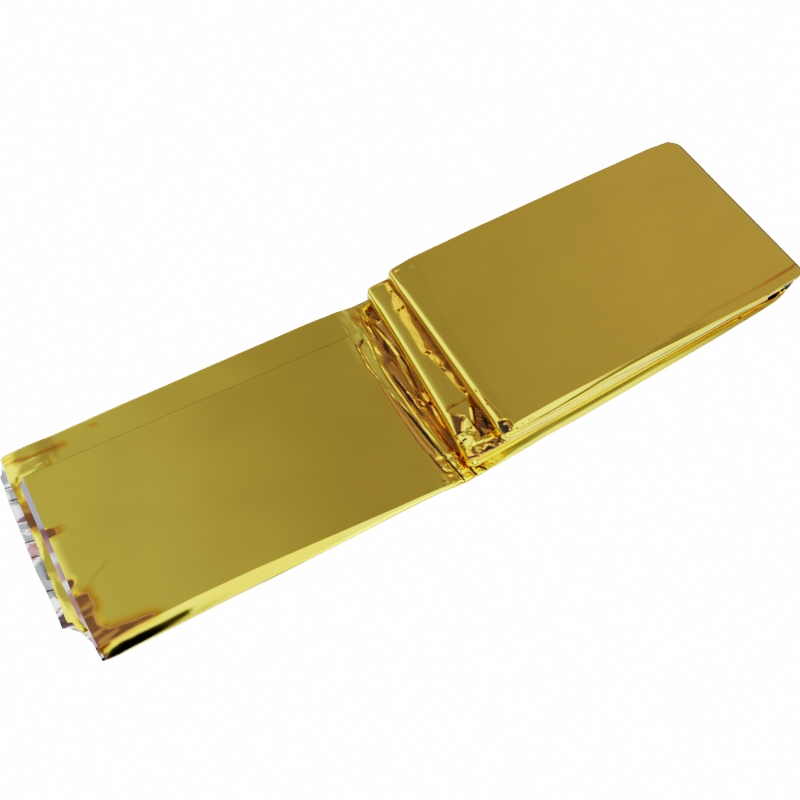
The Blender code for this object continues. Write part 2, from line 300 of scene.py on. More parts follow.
def next_turn_end(work, end, lining):
    """The next turn of the strip where it shows: the back edge strip and the cut end, painted with brown reflections,
    patchy painted flecks, and creases painted dark as painted shade.
    """
    x, y = work.x, work.y
    away = x - end
    work.lift += 0.10 * waves(x, y, 30.0, 77)
    if lining:
        work.lift += falling(away, table(y + 0.35 * (away - 1.0), LINING_FALL), 4.6)
        near = smooth((9.0 - away) / 4.0)
        work.tone += table(y + 0.45 * (away - 1.0), LINING_TONE) * near
        crumple = window(y, -25.5, -17.0, 0.8) * near
        work.tone += (np.clip(0.5 + 0.9 * facets(x, y, 1.7, 12, 3), 0, 1) - work.tone) * 0.75 * crumple
        work.lift += 0.12 * facets(x, y, 4.0, 9, 3) * near
        return
    near = smooth((10.0 - away) / 4.0) * smooth((31.5 - y) / 1.5)
    slant = y + 0.30 * (away - 2.0)
    work.lift += falling(away, table(slant, NEXT_FALL), 6.0)
    work.tone += table(slant, NEXT_TONE) * near
    # patchy painted reflections on the crumpled film
    flecks = window(y, 19.5, 27.2, 0.6) * smooth((7.0 - away) / 3.0)
    work.tone += (np.clip(0.45 + 0.8 * facets(x, y, 2.6, 19, 3), 0, 1) * 0.8 - work.tone) * 0.6 * flecks
    # the back corner rises in a long flat fold, with a groove behind it; the creases here are painted dark as painted
    # shade
    reach = smooth((-127.5 - x) / 9.0)
    up = y - 28.6 - 0.30 * (x + 138.0)
    work.lift += 0.80 * reach * smooth(up / 3.0)
    work.lift -= 0.10 * reach * smooth((up - 3.4) / 3.0)
    work.crease([(-145.4, 35.4), (-141.5, 35.2), (-137.0, 34.9), (-125.8, 35.3), (-119.6, 36.3), (-114, 37.3)], (0.25, 0.6, 0.65, 0.45, 0.3, 0.1), 0.82, -0.34, 0.35)
    work.stroke([(-145.6, 37.4), (-143.4, 37.5), (-141.5, 37.9)], (0.5, 0.4, 0.2), 0.66, 0.3)
    work.crease([(-133.4, 29.7), (-131.6, 30.6)], (0.9, 0.6), 0.56, 0.14, 0.4)
    work.ridge([(-131.6, 31.6), (-130.0, 31.0), (-128.8, 29.6)], (0.8, 1.0, 0.6), 0.30)
    work.crease([(-120.0, 34.1), (-119.3, 34.3)], (0.35, 0.3), 0.62, 0.18, 0.3)
    work.crease([(-118.9, 33.8), (-118.4, 33.6)], (0.3, 0.2), 0.95, -0.1, 0.3)


# ---------------------------------------------------------------- the old fold
def old_fold(work, far=False):
    """The old fold beside the stack: long creases across the strip, a crumpled fan at either end, with painted orange
    and brown reflections and painted dark shade along its creases.
    """
    x, y = work.x, work.y
    # the film rises from the panel to a low hump, then drops under the first fold of the stack
    work.lift += 0.62 * smooth((x + 21.5) / 7.0) - 1.05 * smooth((x + 14.5) / 7.0) + 0.35 * smooth((x + 3.0) / 5.0)
    back = smooth((y - 13.0) / 10.0) * window(x, -20.0, -1.5, 3.0)
    front = smooth((-23.0 - y) / 7.0) * window(x, -20.5, 2.0, 3.0)
    work.lift += 0.16 * facets(x, y * 0.6, 4.5, 21) * window(x, -18.0, -3.0, 3.0)
    work.lift += 0.20 * back * facets(x, y * 0.8, 4.2, 31, 4) + 0.26 * front * facets(x, y, 3.6, 42, 4)
    work.lift += 0.09 * front * facets(x, y, 1.7, 43, 3)
    # a painted brown reflection of the underside of the first fold, faintly mottled
    brown = [(-5.2, 35.6), (-7.4, 33.4), (-9.4, 27.9), (-11.2, 24.2), (-13.2, 22.2), (-14.3, 17.0), (-15.5, 12.9), (-15.6, 5.0),
             (-15.0, -4.0), (-14.8, -13.0), (-14.6, -20.0), (-13.4, -28.0), (-12.2, -31.4), (-9.8, -34.2), (-5.0, -33.0), (-2.0, -20.0), (-2.0, 0.0), (-1.0, 36.0)]
    work.facet(brown, tone=0.77, soft=0.35)
    mottle = work.inside(brown, 1.2)
    work.tone += 0.04 * mottle * facets(x, y * 0.4, 4.0, 24, 3)
    # the fan at the back: creases painted dark as painted shade, a facet painted dark brown and one painted orange
    work.crease([(-15.0, 34.6), (-13.6, 33.0), (-12.6, 31.2)], (0.9, 1.1, 0.5), 0.86, -0.25, 0.5)
    work.crease([(-14.2, 33.2), (-12.7, 31.3), (-12.5, 29.5), (-13.9, 24.4), (-14.3, 21.6)], (0.25, 0.4, 0.4, 0.35, 0.2), 0.80, -0.30)
    work.crease([(-9.8, 37.6), (-11.7, 35.7), (-12.1, 32.2), (-11.3, 30.0), (-9.9, 28.8)], (0.2, 0.28, 0.3, 0.3, 0.2), 0.78, -0.28)
    work.crease([(-11.3, 37.9), (-11.6, 36.3)], (0.35, 0.2), 1.0, -0.2)
    work.crease([(-16.6, 32.0), (-15.2, 30.8), (-13.6, 28.4)], (0.1, 0.22, 0.1), 0.45, 0.22)
    work.crease([(-10.8, 28.6), (-11.2, 25.6), (-11.8, 22.2)], (0.3, 0.45, 0.15), 0.88, -0.22)
    work.crease([(-12.2, 28.4), (-12.7, 25.0), (-13.0, 22.0)], (0.15, 0.3, 0.15), 0.78, -0.22)
    work.ridge([(-11.6, 29.4), (-12.0, 25.4), (-12.4, 22.2)], 0.55, 0.22)
    work.facet([(-9.6, 34.6), (-8.0, 35.6), (-6.2, 34.6), (-7.0, 31.4), (-8.8, 31.0)], tone=0.80, soft=0.4)
    work.crease([(-8.6, 33.4), (-7.7, 34.3), (-6.6, 34.2), (-5.6, 35.2), (-4.4, 34.8)], (0.45, 0.55, 0.4, 0.5, 0.3), 1.0, -0.25)
    work.facet([(-9.6, 32.9), (-8.9, 30.4), (-7.3, 30.2), (-6.2, 28.9), (-6.6, 30.6), (-8.2, 32.2)], tone=0.33, lift=0.25, slope=(0.28, 0.1), soft=0.4)
    work.crease([(-8.6, 30.9), (-7.6, 31.6)], (0.3, 0.2), 0.8, -0.1)
    work.crease([(-6.6, 29.6), (-5.2, 30.2)], (0.35, 0.2), 0.97, -0.15)
    # raised slivers with pale outlines, and creases beside them painted dark as painted shade
    work.facet([(-9.7, 28.2), (-9.3, 24.9), (-8.9, 19.2), (-8.6, 17.6), (-7.8, 17.9), (-8.1, 23.4), (-9.1, 27.6)], tone=0.1, lift=0.30, slope=(-0.05, 0.0), soft=0.55)
    work.facet([(-8.9, 17.3), (-8.7, 12.6), (-7.7, 12.8), (-7.6, 16.8)], tone=0.05, lift=0.30, slope=(-0.05, 0.0), soft=0.55)
    work.facet([(-9.4, 12.2), (-8.0, 11.9), (-8.2, 7.0), (-9.4, 1.6), (-10.2, -3.4), (-11.4, -3.6), (-11.0, 1.0), (-10.3, 6.4)], tone=0.05, lift=0.34, slope=(-0.04, 0.0), soft=0.6)
    work.crease([(-9.5, 21.0), (-10.7, 17.8), (-11.5, 14.5)], (0.15, 0.95, 0.2), 0.92, -0.16, 0.35)
    work.crease([(-6.2, 16.6), (-6.5, 13.2), (-7.3, 9.2)], (0.1, 0.5, 0.1), 1.0, -0.12)
    # beside the panel: a double line painted dark as painted shade, an olive facet, a thin ridge
    work.crease([(-19.7, 22.7), (-18.6, 23.3), (-17.4, 24.3)], (0.45, 0.6, 0.8), 0.96, -0.2, 0.35)
    work.crease([(-20.6, 23.9), (-21.0, 18.8), (-21.4, 13.5), (-20.9, 9.5), (-20.7, 6.0)], (0.3, 0.28, 0.25, 0.28, 0.2), 0.90, -0.22, 0.25)
    work.crease([(-19.6, 22.4), (-20.1, 18.6), (-20.4, 13.5), (-20.0, 9.0)], (0.3, 0.28, 0.22, 0.2), 0.80, -0.18, 0.25)
    work.ridge([(-20.1, 23.4), (-20.6, 18.8), (-20.9, 13.5), (-20.5, 9.5)], 0.45, 0.18)
    work.ridge([(-20.4, 34.2), (-20.2, 32.0), (-20.1, 29.9)], 0.55, 0.20, 0.1)
    work.crease([(-15.3, 23.4), (-15.8, 19.7), (-17.2, 14.0)], (0.2, 0.3, 0.2), 0.50, 0.30)
    work.crease([(-14.9, 22.4), (-15.3, 19.0), (-16.4, 14.2)], (0.15, 0.3, 0.15), 0.80, -0.16)
    for cx, cy in ((-14.6, 18.3), (-14.3, 16.3), (-12.4, 10.6), (-11.9, 9.8)):
        work.facet([(cx - 0.7, cy - 0.8), (cx + 0.2, cy - 1.0), (cx + 0.7, cy + 0.3), (cx, cy + 0.9), (cx - 0.6, cy + 0.4)], tone=0.30, lift=0.16, slope=(0.25, 0.1), soft=0.4)
    # the long creases down the middle: painted orange and brown reflections and painted black shade
    work.stroke([(-20.6, 9.7), (-20.4, -4.4), (-20.0, -12.3), (-19.7, -20.5), (-19.0, -26.0), (-18.0, -31.0)], (0.4, 0.65, 0.8, 0.85, 0.8, 0.5), 0.70, 0.4, 0.08)
    work.ridge([(-20.1, 9.7), (-19.9, -4.4), (-19.5, -12.3), (-19.2, -20.5), (-18.4, -26.0), (-17.5, -31.0)], 0.75, 0.14)
    work.crease([(-21.1, 6.0), (-21.1, -4.4), (-20.9, -12.3), (-20.6, -20.5), (-19.8, -27.0)], (0.1, 0.22, 0.22, 0.25, 0.2), 0.88, -0.12, 0.25)
    work.crease([(-19.7, 3.0), (-19.5, -5.0), (-19.0, -12.3), (-18.5, -20.5), (-17.8, -27.0)], (0.1, 0.2, 0.22, 0.25, 0.2), 0.86, -0.10, 0.25)
    work.stroke([(-19.5, 2.6), (-19.2, 0.3), (-18.9, -2.1)], 0.28, 0.0, 0.2)
    work.ridge([(-19.4, 2.6), (-19.1, 0.3), (-18.8, -2.1)], 0.5, 0.24, 0.1)
    work.crease([(-19.1, -2.4), (-18.7, -5.0), (-17.8, -12.0), (-17.0, -20.3), (-16.7, -25.5)], (0.12, 0.3, 0.62, 0.75, 0.55), 1.0, -0.20, spread=1.3)
    work.crease([(-16.5, -25.5), (-15.9, -30.5), (-15.3, -34.5), (-14.7, -41.6)], (0.36, 0.42, 0.46, 0.40), 1.0, -0.28, 0.25)
    work.stroke([(-17.2, -24.6), (-16.6, -28.0), (-16.0, -31.5)], 0.16, 0.9, 0.2)
    work.crease([(-17.0, 13.6), (-17.4, 4.5), (-17.0, -3.4), (-16.8, -11.0), (-16.1, -18.0)], (0.2, 0.4, 0.35, 0.3, 0.15), 0.82, -0.20)
    work.crease([(-16.3, 13.5), (-16.6, 4.5), (-16.3, -3.4), (-16.1, -13.2), (-15.3, -23.1), (-14.3, -30.0)], (0.2, 0.24, 0.25, 0.28, 0.30, 0.2), 0.50, 0.22)
    work.crease([(-15.5, 12.0), (-15.7, 4.5), (-15.5, -3.4), (-15.3, -13.2)], (0.3, 0.35, 0.3, 0.25), 0.84, -0.22)
    work.crease([(-15.1, 6.4), (-14.6, 0.2), (-14.5, -4.4), (-14.4, -13.4)], (0.15, 0.6, 0.72, 0.15), 1.0, -0.30, 0.35)
    work.crease([(-14.3, 6.6), (-13.8, 0.2), (-13.6, -4.8), (-13.5, -11.0)], (0.1, 0.26, 0.26, 0.15), 0.58, 0.22)
    work.crease([(-14.6, -13.5), (-14.0, -18.2), (-13.6, -24.0), (-12.6, -29.4)], (0.25, 0.8, 0.95, 0.4), 0.60, 0.34, 0.5)
    work.crease([(-12.3, -14.0), (-12.2, -18.0), (-11.9, -22.0)], (0.1, 0.26, 0.1), 0.62, 0.16)
    # a curl of film at the middle, painted orange, with creases painted dark
    ring = [(-12.4 + 1.25 * math.cos(a) - 0.25 * math.sin(a), -8.4 + 2.5 * math.sin(a)) for a in np.linspace(0.4, 6.9, 12)]
    work.facet(ring[:-1], tone=0.5, slope=(0.35, 0.0), soft=0.3)
    work.crease(ring, 0.34, 0.22, 0.34, 0.3)
    work.crease([(-12.9, -6.6), (-12.2, -7.8), (-12.7, -8.8), (-12.0, -10.2)], (0.3, 0.4, 0.3, 0.4), 0.95, -0.12)
    work.crease([(-10.6, -1.2), (-11.2, -3.4), (-11.0, -5.4), (-12.2, -6.2)], (0.2, 0.35, 0.25, 0.2), 0.85, -0.14)
    work.crease([(-13.9, -2.4), (-12.8, -4.2), (-12.2, -4.0)], (0.3, 0.4, 0.3), 0.25, 0.20)
    # it rides up a little at the first fold's foot, with tilted flakes against it that catch the light and are painted
    # orange-yellow, a painted reflection
    work.lift += 0.36 * np.clip(x + 10.3 - 0.081 * y, 0.0, 2.6) * smooth((y + 5.0) / 2.0) * smooth((31.0 - y) / 4.0)
    work.facet([(-9.5, -4.8), (-8.3, -4.8), (-8.4, -9.4), (-9.4, -9.4), (-10.2, -7.3)], tone=0.52, lift=0.5, slope=(0.48, 0.0), soft=0.3)
    work.facet([(-9.3, -10.6), (-8.4, -11.4), (-8.4, -21.2), (-9.6, -21.4), (-10.5, -19.6), (-10.9, -17.0), (-10.2, -14.3), (-9.6, -12.4)], tone=0.52, lift=0.5, slope=(0.48, 0.0), soft=0.3)
    work.crease([(-9.2, -9.6), (-8.8, -10.8)], (0.55, 0.4), 1.0, -0.12)
    # the crumpled front end: patchy painted orange and brown reflections on its facets, creases painted dark as
    # painted shade
    gold = window(x, -19.8, -15.6, 0.8) * smooth((-29.0 - y) / 2.0) * smooth((y + 41.0) / 1.5)
    work.tone += (np.clip(0.46 + 0.62 * facets(x, y, 2.6, 71, 4), 0, 1) * 0.85 - work.tone) * gold
    gold = window(x, -14.2, -9.6, 0.8) * smooth((-30.0 - y) / 2.0)
    work.tone += (np.clip(0.42 + 0.62 * facets(x, y, 2.8, 72, 4), 0, 1) * 0.85 - work.tone) * gold
    work.lift += 0.16 * smooth((-29.0 - y) / 3.0) * window(x, -20.0, -9.0, 1.0) * facets(x, y, 2.7, 73, 3)
    work.crease([(-19.6, -27.0), (-19.2, -30.6), (-18.7, -34.0), (-17.6, -36.6)], (0.3, 0.5, 0.4, 0.2), 0.92, -0.20)
    work.crease([(-20.4, -37.3), (-19.9, -37.7)], (0.35, 0.3), 1.0, -0.15)
    work.crease([(-14.6, -31.0), (-12.4, -33.4), (-10.6, -34.4)], (0.2, 0.35, 0.2), 0.84, -0.2)
    work.crease([(-10.3, -35.6), (-10.8, -37.9), (-10.2, -41.4)], (0.3, 0.45, 0.42), 1.0, -0.32)
    work.facet([(-10.0, -36.0), (-8.6, -37.6), (-7.6, -41.2), (-9.8, -41.2), (-10.2, -38.4)], tone=0.0, lift=0.12, soft=0.4)
    work.crease([(-8.8, -33.7), (-8.7, -36.2), (-8.3, -38.8)], (0.25, 0.62, 0.2), 0.68, 0.22)
    work.crease([(-7.8, -38.5), (-7.0, -39.6), (-6.4, -42.0)], (0.3, 0.42, 0.36), 1.0, -0.30)
    # pleats whose facets are painted warmer and paler in turn, a painted reflection
    pleats = work.inside([(-7.6, -35.6), (-2.2, -38.8), (-2.6, -41.4), (-6.8, -39.8)], 0.6)
    work.lift += 0.24 * pleats * tri((x * 0.62 + y * 0.78) / 1.15)
    work.tone += (0.26 + 0.10 * tri((x * 0.62 + y * 0.78) / 1.15 + 0.2) - work.tone) * pleats


# ---------------------------------------------------------------- the stack's shoulder
FLAKE = ((2, 9.0), (-4.0, 9.0), (-5.0, 4.5), (-7.5, 2.0), (-9.8, 3.5), (-11.0, 2.0), (-14.3, 0.0), (-19.4, 0.0), (-20.5, 2.5),
         (-22.4, 5.4), (-24.5, 7.2), (-25.5, 9.0), (-40, 9.0))
FLAP_EDGE = ((45, -2.0), (36, -2.2), (34, -3.1), (33, -1.7), (31.7, -1.9), (29.8, -3.4), (27, -3.9), (25.4, -4.5), (25.0, -3.1), (23.1, -3.8),
             (20.4, -4.0), (16.3, -3.7), (11.8, -3.9), (7.1, -4.1), (4.6, -3.7), (4.0, -2.3), (2.0, -2.7), (-0.9, -1.9), (-2.9, -1.0),
             (-6.4, -0.8), (-9.9, -0.4), (-13.2, 0.2), (-16.9, 1.3), (-20, 1.6), (-24, -0.6), (-30, -2.6))
FLAP_TOP = ((45, -0.6), (35, -0.6), (31.2, -0.3), (27.6, 0.0), (22.8, -0.2), (16.8, -1.1), (11.9, -1.2), (7.9, -1.5), (6.2, -2.2), (4.9, -1.0),
            (1.4, 0.0), (-0.9, 0.6), (-2.8, 0.1), (-4.6, 0.3), (-6.9, 1.7), (-9.9, 1.0), (-11.9, 1.1), (-14.5, 2.9), (-20, 3.0), (-30, 0.0))


def shoulder(work):
    """The third level where it shows between the two folds: a flat olive band, then film that is gathered up
    against the next fold, painted orange and brown as painted reflections; a knot of small facets at the
    front, with hollows and creases painted dark as painted shade."""
    x, y = work.x, work.y
    work.lift += 0.085 * np.minimum(x + 8.5, 5.0)
    edge, crest = table(y, FLAP_EDGE), table(y, FLAP_TOP)
    crest = np.maximum(crest, edge + 0.4)
    wide = crest - edge
    rise = np.clip((x - edge) / wide, 0.0, 1.0)
    upper = smooth((y + 19.0) / 4.0)
    work.lift += upper * (0.40 * wide * rise * (1.0 + 0.06 * facets(x, y, 3.0, 55, 3)) - 0.10 * np.clip(x - crest, 0.0, 3.0))
    # the flap is painted orange and the film behind it brown: painted reflections
    on_flap = np.clip((x - edge) / 0.35 + 0.5, 0, 1) * np.clip((crest - x) / 0.35 + 0.5, 0, 1) * upper
    brown = np.clip((x - crest) / 0.35 + 0.5, 0, 1) * smooth((7.0 - x) / 3.0) * upper
    work.tone += (0.57 + 0.05 * facets(x, y, 4.6, 56, 3) - work.tone) * on_flap
    work.tone += (0.75 + 0.05 * facets(x, y * 0.5, 3.4, 57, 3) - work.tone) * brown
    work.stroke([(-2.4, 34.6), (-2.0, 32.2), (-3.2, 30.6), (-2.9, 27.5)], (0.12, 0.2, 0.2, 0.1), 0.0, 0.25)
    work.crease([(-1.9, 3.6), (-1.2, 2.2), (-0.4, 2.6)], (0.3, 0.4, 0.3), 0.60, 0.1)
    work.crease([(-0.8, -3.0), (-0.3, -4.6)], (0.3, 0.3), 0.97, -0.1)
    # thin lenses painted brown, then the hollow under the gathered film, painted dark as painted shade
    work.crease([(-7.6, -18.3), (-5.9, -17.5), (-4.1, -17.5), (-1.9, -17.9)], (0.15, 0.55, 0.60, 0.1), 0.90, -0.24)
    work.crease([(-2.0, -17.9), (-0.4, -17.6), (1.2, -17.5)], (0.1, 0.45, 0.3), 0.86, -0.20)
    work.facet([(-7.0, -18.8), (-6.1, -20.3), (-4.2, -22.3), (-2.7, -23.4), (-4.6, -24.4), (-6.0, -26.9), (-8.5, -27.4), (-8.0, -24.6), (-7.2, -21.4)], tone=0.88, lift=-0.35, slope=(-0.10, 0.1), soft=0.4)
    work.stroke([(-7.0, -19.4), (-6.0, -20.4), (-3.4, -22.6)], (0.25, 0.4, 0.2), 0.74, 0.3)
    work.facet([(-2.6, -23.5), (-2.1, -25.8), (-2.4, -28.9), (-4.4, -28.0), (-7.0, -27.6), (-5.3, -25.2), (-4.4, -24.2)], tone=0.0, lift=0.5, slope=(0.34, 0.05), soft=0.4)
    work.crease([(-9.8, -26.9), (-8.6, -27.2), (-7.4, -27.1), (-6.2, -27.7)], (0.15, 0.42, 0.6, 0.35), 1.0, -0.25)
    work.crease([(-8.7, -27.9), (-6.4, -28.0), (-3.0, -29.2)], (0.35, 0.35, 0.2), 0.0, 0.40)
    work.facet([(-8.8, -28.6), (-5.8, -29.0), (-4.0, -30.8), (-4.6, -33.0), (-7.8, -34.0), (-9.6, -34.4), (-9.8, -31.7)], tone=0.0, lift=0.25, slope=(0.32, -0.22), soft=0.4)
    work.crease([(-10.3, -31.2), (-9.7, -30.3), (-8.8, -29.9), (-8.2, -30.6), (-7.6, -30.1), (-6.8, -30.3)], (0.6, 0.55, 0.32, 0.48, 0.36, 0.55), 1.0, -0.22, 0.25)
    work.crease([(-8.9, -33.4), (-7.4, -33.0), (-6.4, -33.6)], (0.3, 0.2, 0.2), 0.66, -0.15)
    # under the next fold's lower end: a strip painted orange, a hollow painted dark with painted shade and streaks,
    # flaps drawn as black painted lines, pleats, then crumples in patchy painted tones
    work.facet([(0.9, -21.6), (-0.2, -24.4), (-1.6, -27.2), (-2.6, -30.2), (-3.2, -32.4), (-3.8, -32.2), (-3.3, -29.8), (-2.2, -26.8), (-0.9, -24.0), (0.2, -21.4)], tone=0.36, lift=0.3, slope=(0.3, 0.0), soft=0.35)
    hollow = work.inside([(1.4, -22.0), (6.8, -24.0), (7.5, -33.0), (2.0, -33.2), (-2.6, -32.8), (-1.2, -28.0)], 0.5)
    streaks = facets(x + 0.55 * y, y * 0.35, 1.6, 58, 3, 0.5)
    work.tone += (np.clip(0.84 + 0.30 * streaks, 0.1, 1.0) - work.tone) * hollow
    work.lift += (0.22 * streaks - 0.25) * hollow
    for flap in ([(-0.9, -28.6), (-1.0, -31.2), (-1.8, -32.2)], [(2.6, -26.0), (2.4, -28.6), (1.6, -31.0)], [(4.6, -29.8), (5.6, -32.0)]):
        work.stroke(flap, (0.3, 0.6, 0.3), 1.0, 0.35)
    work.facet([(-4.9, -33.2), (-0.2, -32.8), (5.0, -32.6), (5.2, -34.2), (0.2, -34.4), (-2.6, -34.4)], tone=0.05, lift=0.2, soft=0.4)
    work.crease([(-4.9, -33.5), (-0.2, -33.05), (4.8, -32.9)], 0.26, 0.0, 0.30, 0.25)
    work.crease([(-2.0, -33.6), (1.2, -33.55), (5.0, -33.6)], 0.2, 0.93, -0.12, 0.22)
    work.crease([(-1.6, -34.25), (4.9, -34.4)], 0.14, 0.2, 0.12, 0.2)
    crumple = work.inside([(-9.6, -34.0), (-3.4, -34.4), (6.0, -34.8), (6.0, -41.5), (-9.6, -41.5)], 0.6)
    work.lift += 0.30 * crumple * facets(x, y, 2.4, 59, 4)
    work.tone += (np.clip(0.56 + 0.75 * facets(x, y, 2.3, 60, 4), 0.0, 1.0) - work.tone) * crumple
    # a second hollow painted dark as painted shade
    hollow = work.inside([(-3.0, -34.6), (-0.6, -34.9), (6.4, -34.9), (6.0, -38.6), (-0.6, -38.8), (-5.6, -37.4), (-4.2, -36.2)], 0.5)
    work.tone += (np.clip(0.82 + 0.22 * facets(x + 0.4 * y, y, 1.9, 62, 3), 0.3, 1.0) - work.tone) * hollow
    work.facet([(-6.4, -33.4), (-5.2, -34.0), (-6.1, -36.9), (-7.2, -35.8)], tone=0.88, soft=0.35)
    work.stroke([(-8.3, -36.1), (-7.9, -37.8), (-7.2, -39.8)], (0.3, 0.5, 0.4), 0.74, 0.3)
    work.facet([(-5.4, -34.1), (-4.2, -35.0), (-4.6, -36.7), (-6.2, -35.8)], tone=0.0, lift=0.2, slope=(0.3, -0.1), soft=0.35)
    work.crease([(-3.8, -36.7), (-2.4, -35.4), (-1.6, -35.8), (-0.4, -36.4)], (0.25, 0.45, 0.3, 0.15), 0.0, 0.32, 0.25)
    work.crease([(-3.9, -36.9), (-1.7, -37.2), (0.9, -38.4)], (0.2, 0.55, 0.2), 1.0, -0.25, 0.3)
    work.crease([(-10.0, -34.8), (-8.2, -36.4), (-5.6, -37.9)], (0.3, 0.3, 0.2), 0.95, -0.2, 0.3)


BEVEL_FIRST = ((4, -36.6), (8, -36.1), (24, -36.2), (42, -36.7), (61, -36.95), (81, -36.6), (101, -36.6), (141, -36.5))
BEVEL_SECOND = ((4, -37.6), (8, -38.0), (24, -38.0), (33, -37.7), (42, -37.45), (61, -37.4), (81, -37.0), (96, -36.7), (141, -36.55))


def top_corner(work):
    """The near end of the top's fold: a crease painted as a brown reflection beside it, with black painted
    ticks, a sunken notch below it painted black as painted shade, and a torn sparkle along the front:
    small raised facets with black painted ticks."""
    x, y = work.x, work.y
    work.crease([(3.1, -20.2), (3.5, -24.7), (4.0, -29.3), (3.9, -33.4)], (0.15, 0.3, 0.34, 0.3), 0.74, -0.10, 0.25)
    for cx, cy in ((2.3, -18.7), (3.0, -23.5), (2.7, -25.1)):
        work.stroke([(cx, cy + 0.5), (cx + 0.1, cy - 0.5)], 0.28, 1.0, 0.25)
    work.facet([(2.3, -32.0), (4.8, -32.9), (6.1, -34.2), (6.4, -36.3), (5.2, -37.3), (2.8, -37.4), (1.2, -37.4), (1.0, -36.0)], tone=1.0, lift=-0.30, soft=0.35)
    work.crease([(3.6, -34.2), (4.9, -34.4), (4.8, -35.9), (4.4, -37.4)], (0.2, 0.45, 0.35, 0.2), 0.0, 0.45, 0.25)
    sparkle = window(x, 6.0, 23.0, 2.0) * smooth((-36.3 - y) / 0.5)
    work.lift += 0.16 * sparkle * facets(x, y, 1.5, 83, 4)
    for cx, cy in ((6.9, -37.7), (9.4, -37.2), (12.5, -37.3), (14.1, -37.5), (19.0, -36.9)):
        work.stroke([(cx - 0.3, cy), (cx + 0.3, cy - 0.1)], 0.24, 1.0, 0.25)
    work.stroke([(96, -36.6), (119, -36.1), (141, -36.4)], (0.1, 0.2, 0.3), 0.9, 0.2)


def sighted(x, y, z):
    """Where a slanting line down through a point of the bundle's front meets the upright plane y = -39.3.
    The marks on the front are laid out in that plane, across levels that stand out by different amounts."""
    share = (-39.3 + 119.1) / (y + 119.1)
    return -121.9 + (x + 121.9) * share, 281.4 + (z - 281.4) * share


def bundle_front(work):
    """The front of the bundle, as (x, z) in the plane of sighted: only tone is drawn here, painted shade and
    painted reflections in the places of its creases. Tone below 0 paints shade without changing the film's colour."""
    x, z = work.x, work.y
    # the lowest turns get painted shade, down to the bright foot, with painted brown, pale and orange-yellow lines
    low = [(-4.0, 3.6), (0, 3.9), (9, 6.2), (16, 7.4), (22.5, 7.3), (26, 6.3), (36, 5.4), (45, 5.1), (55, 4.7), (65, 4.3), (75, 2.4), (84, 0.7), (104, 0.2),
           (122, -0.8), (122, -2.6), (104, -2.0), (85, -1.9), (66, -0.8), (47, -0.9), (28, -0.4), (17, -1.2), (1.5, -2.7), (-4, -3.2)]
    work.facet(low, tone=-0.74, soft=0.5)
    work.stroke([(-4.0, 4.0), (-0.3, 4.3), (3.3, 5.4), (8.1, 8.0)], (0.4, 0.55, 0.5, 0.2), 0.88, 0.5)
    work.stroke([(4.6, 5.4), (7.0, 7.0), (9.4, 7.2)], (0.4, 0.6, 0.2), 0.10, 0.4)
    work.stroke([(20, 9.6), (28.2, 8.0), (39.6, 6.7), (48, 6.4), (57.1, 6.0), (64.3, 5.9), (77.7, 4.0), (86, 3.2), (102, 2.9), (116, 2.4)],
                (0.5, 0.8, 1.0, 1.1, 1.2, 1.3, 1.5, 1.6, 1.7, 1.2), 0.33, 0.5)
    work.stroke([(78, 5.2), (92, 4.6), (108, 4.4), (120, 3.4)], (0.2, 0.4, 0.45, 0.3), 0.66, 0.4)
    work.stroke([(44, 8.4), (57, 7.9), (64, 7.8), (78, 6.4), (90, 5.8)], (0.3, 0.5, 0.5, 0.45, 0.2), -0.8, 0.4)
    # the grooves above it, only as lines of painted shade
    work.stroke([(5, 17.6), (15.6, 17.3), (24.1, 15.0), (30, 13.8)], (0.3, 0.4, 0.35, 0.1), -0.8, 0.4)
    work.stroke([(12.5, 20.6), (20.1, 20.4), (27.1, 18.4), (35.2, 17.5), (43.5, 16.6), (53.2, 14.4), (60.9, 12.1), (69.5, 10.6), (82, 8.4), (94.4, 6.4), (122.4, 4.8)],
                (0.5, 0.6, 0.6, 0.6, 0.55, 0.45, 0.4, 0.4, 0.45, 0.45, 0.3), -0.6, 0.45)
    work.stroke([(60, 12.0), (69.5, 10.6), (82, 8.4), (94.4, 6.4), (122.4, 4.8)], 0.7, -0.55, 0.5)
    work.stroke([(-2.4, 14.4), (5.5, 13.0), (15.5, 11.4), (24.2, 8.9)], (0.2, 0.4, 0.4, 0.1), -0.6, 0.5)
    # crumpled film under the right-hand end, only as paint: patchy painted reflections, dark painted lines and a black
    # painted patch
    work.stroke([(116, 11.9), (122.4, 10.3), (130.1, 6.9)], (0.2, 0.5, 0.7), 0.86, 0.5)
    work.facet([(126.0, 9.4), (134.1, 9.8), (147.0, 3.0), (150.0, -3.0), (139.8, -5.0), (118.0, -4.6), (116.0, 0.6), (124.0, 1.2)], tone=0.06, soft=0.8)
    crumple = work.inside([(118.0, 0.8), (126.0, 9.4), (134.1, 9.8), (147.0, 3.0), (150.0, -3.0), (139.8, -5.0), (120.0, -4.6)], 1.0)
    work.tone += (np.clip(0.20 + 0.60 * facets(x, z, 3.6, 93, 3), 0.0, 0.95) - work.tone) * crumple
    work.stroke([(120.1, -0.6), (125.4, -0.2), (132.1, -3.6)], (0.6, 1.0, 0.8), 0.70, 0.6)
    work.stroke([(127.4, 4.0), (135.3, 0.4), (133.6, -0.6)], (0.6, 0.8, 0.5), 0.90, 0.5)
    work.stroke([(128.8, 9.8), (132.0, 6.0), (136.1, 2.6), (144.0, -1.6)], (0.9, 0.6, 0.5, 0.6), 1.0, 0.5)
    work.facet([(136.1, 8.2), (145.6, 7.9), (149.2, 3.4), (147.1, -1.5), (139.0, 5.5)], tone=1.0, soft=0.7)


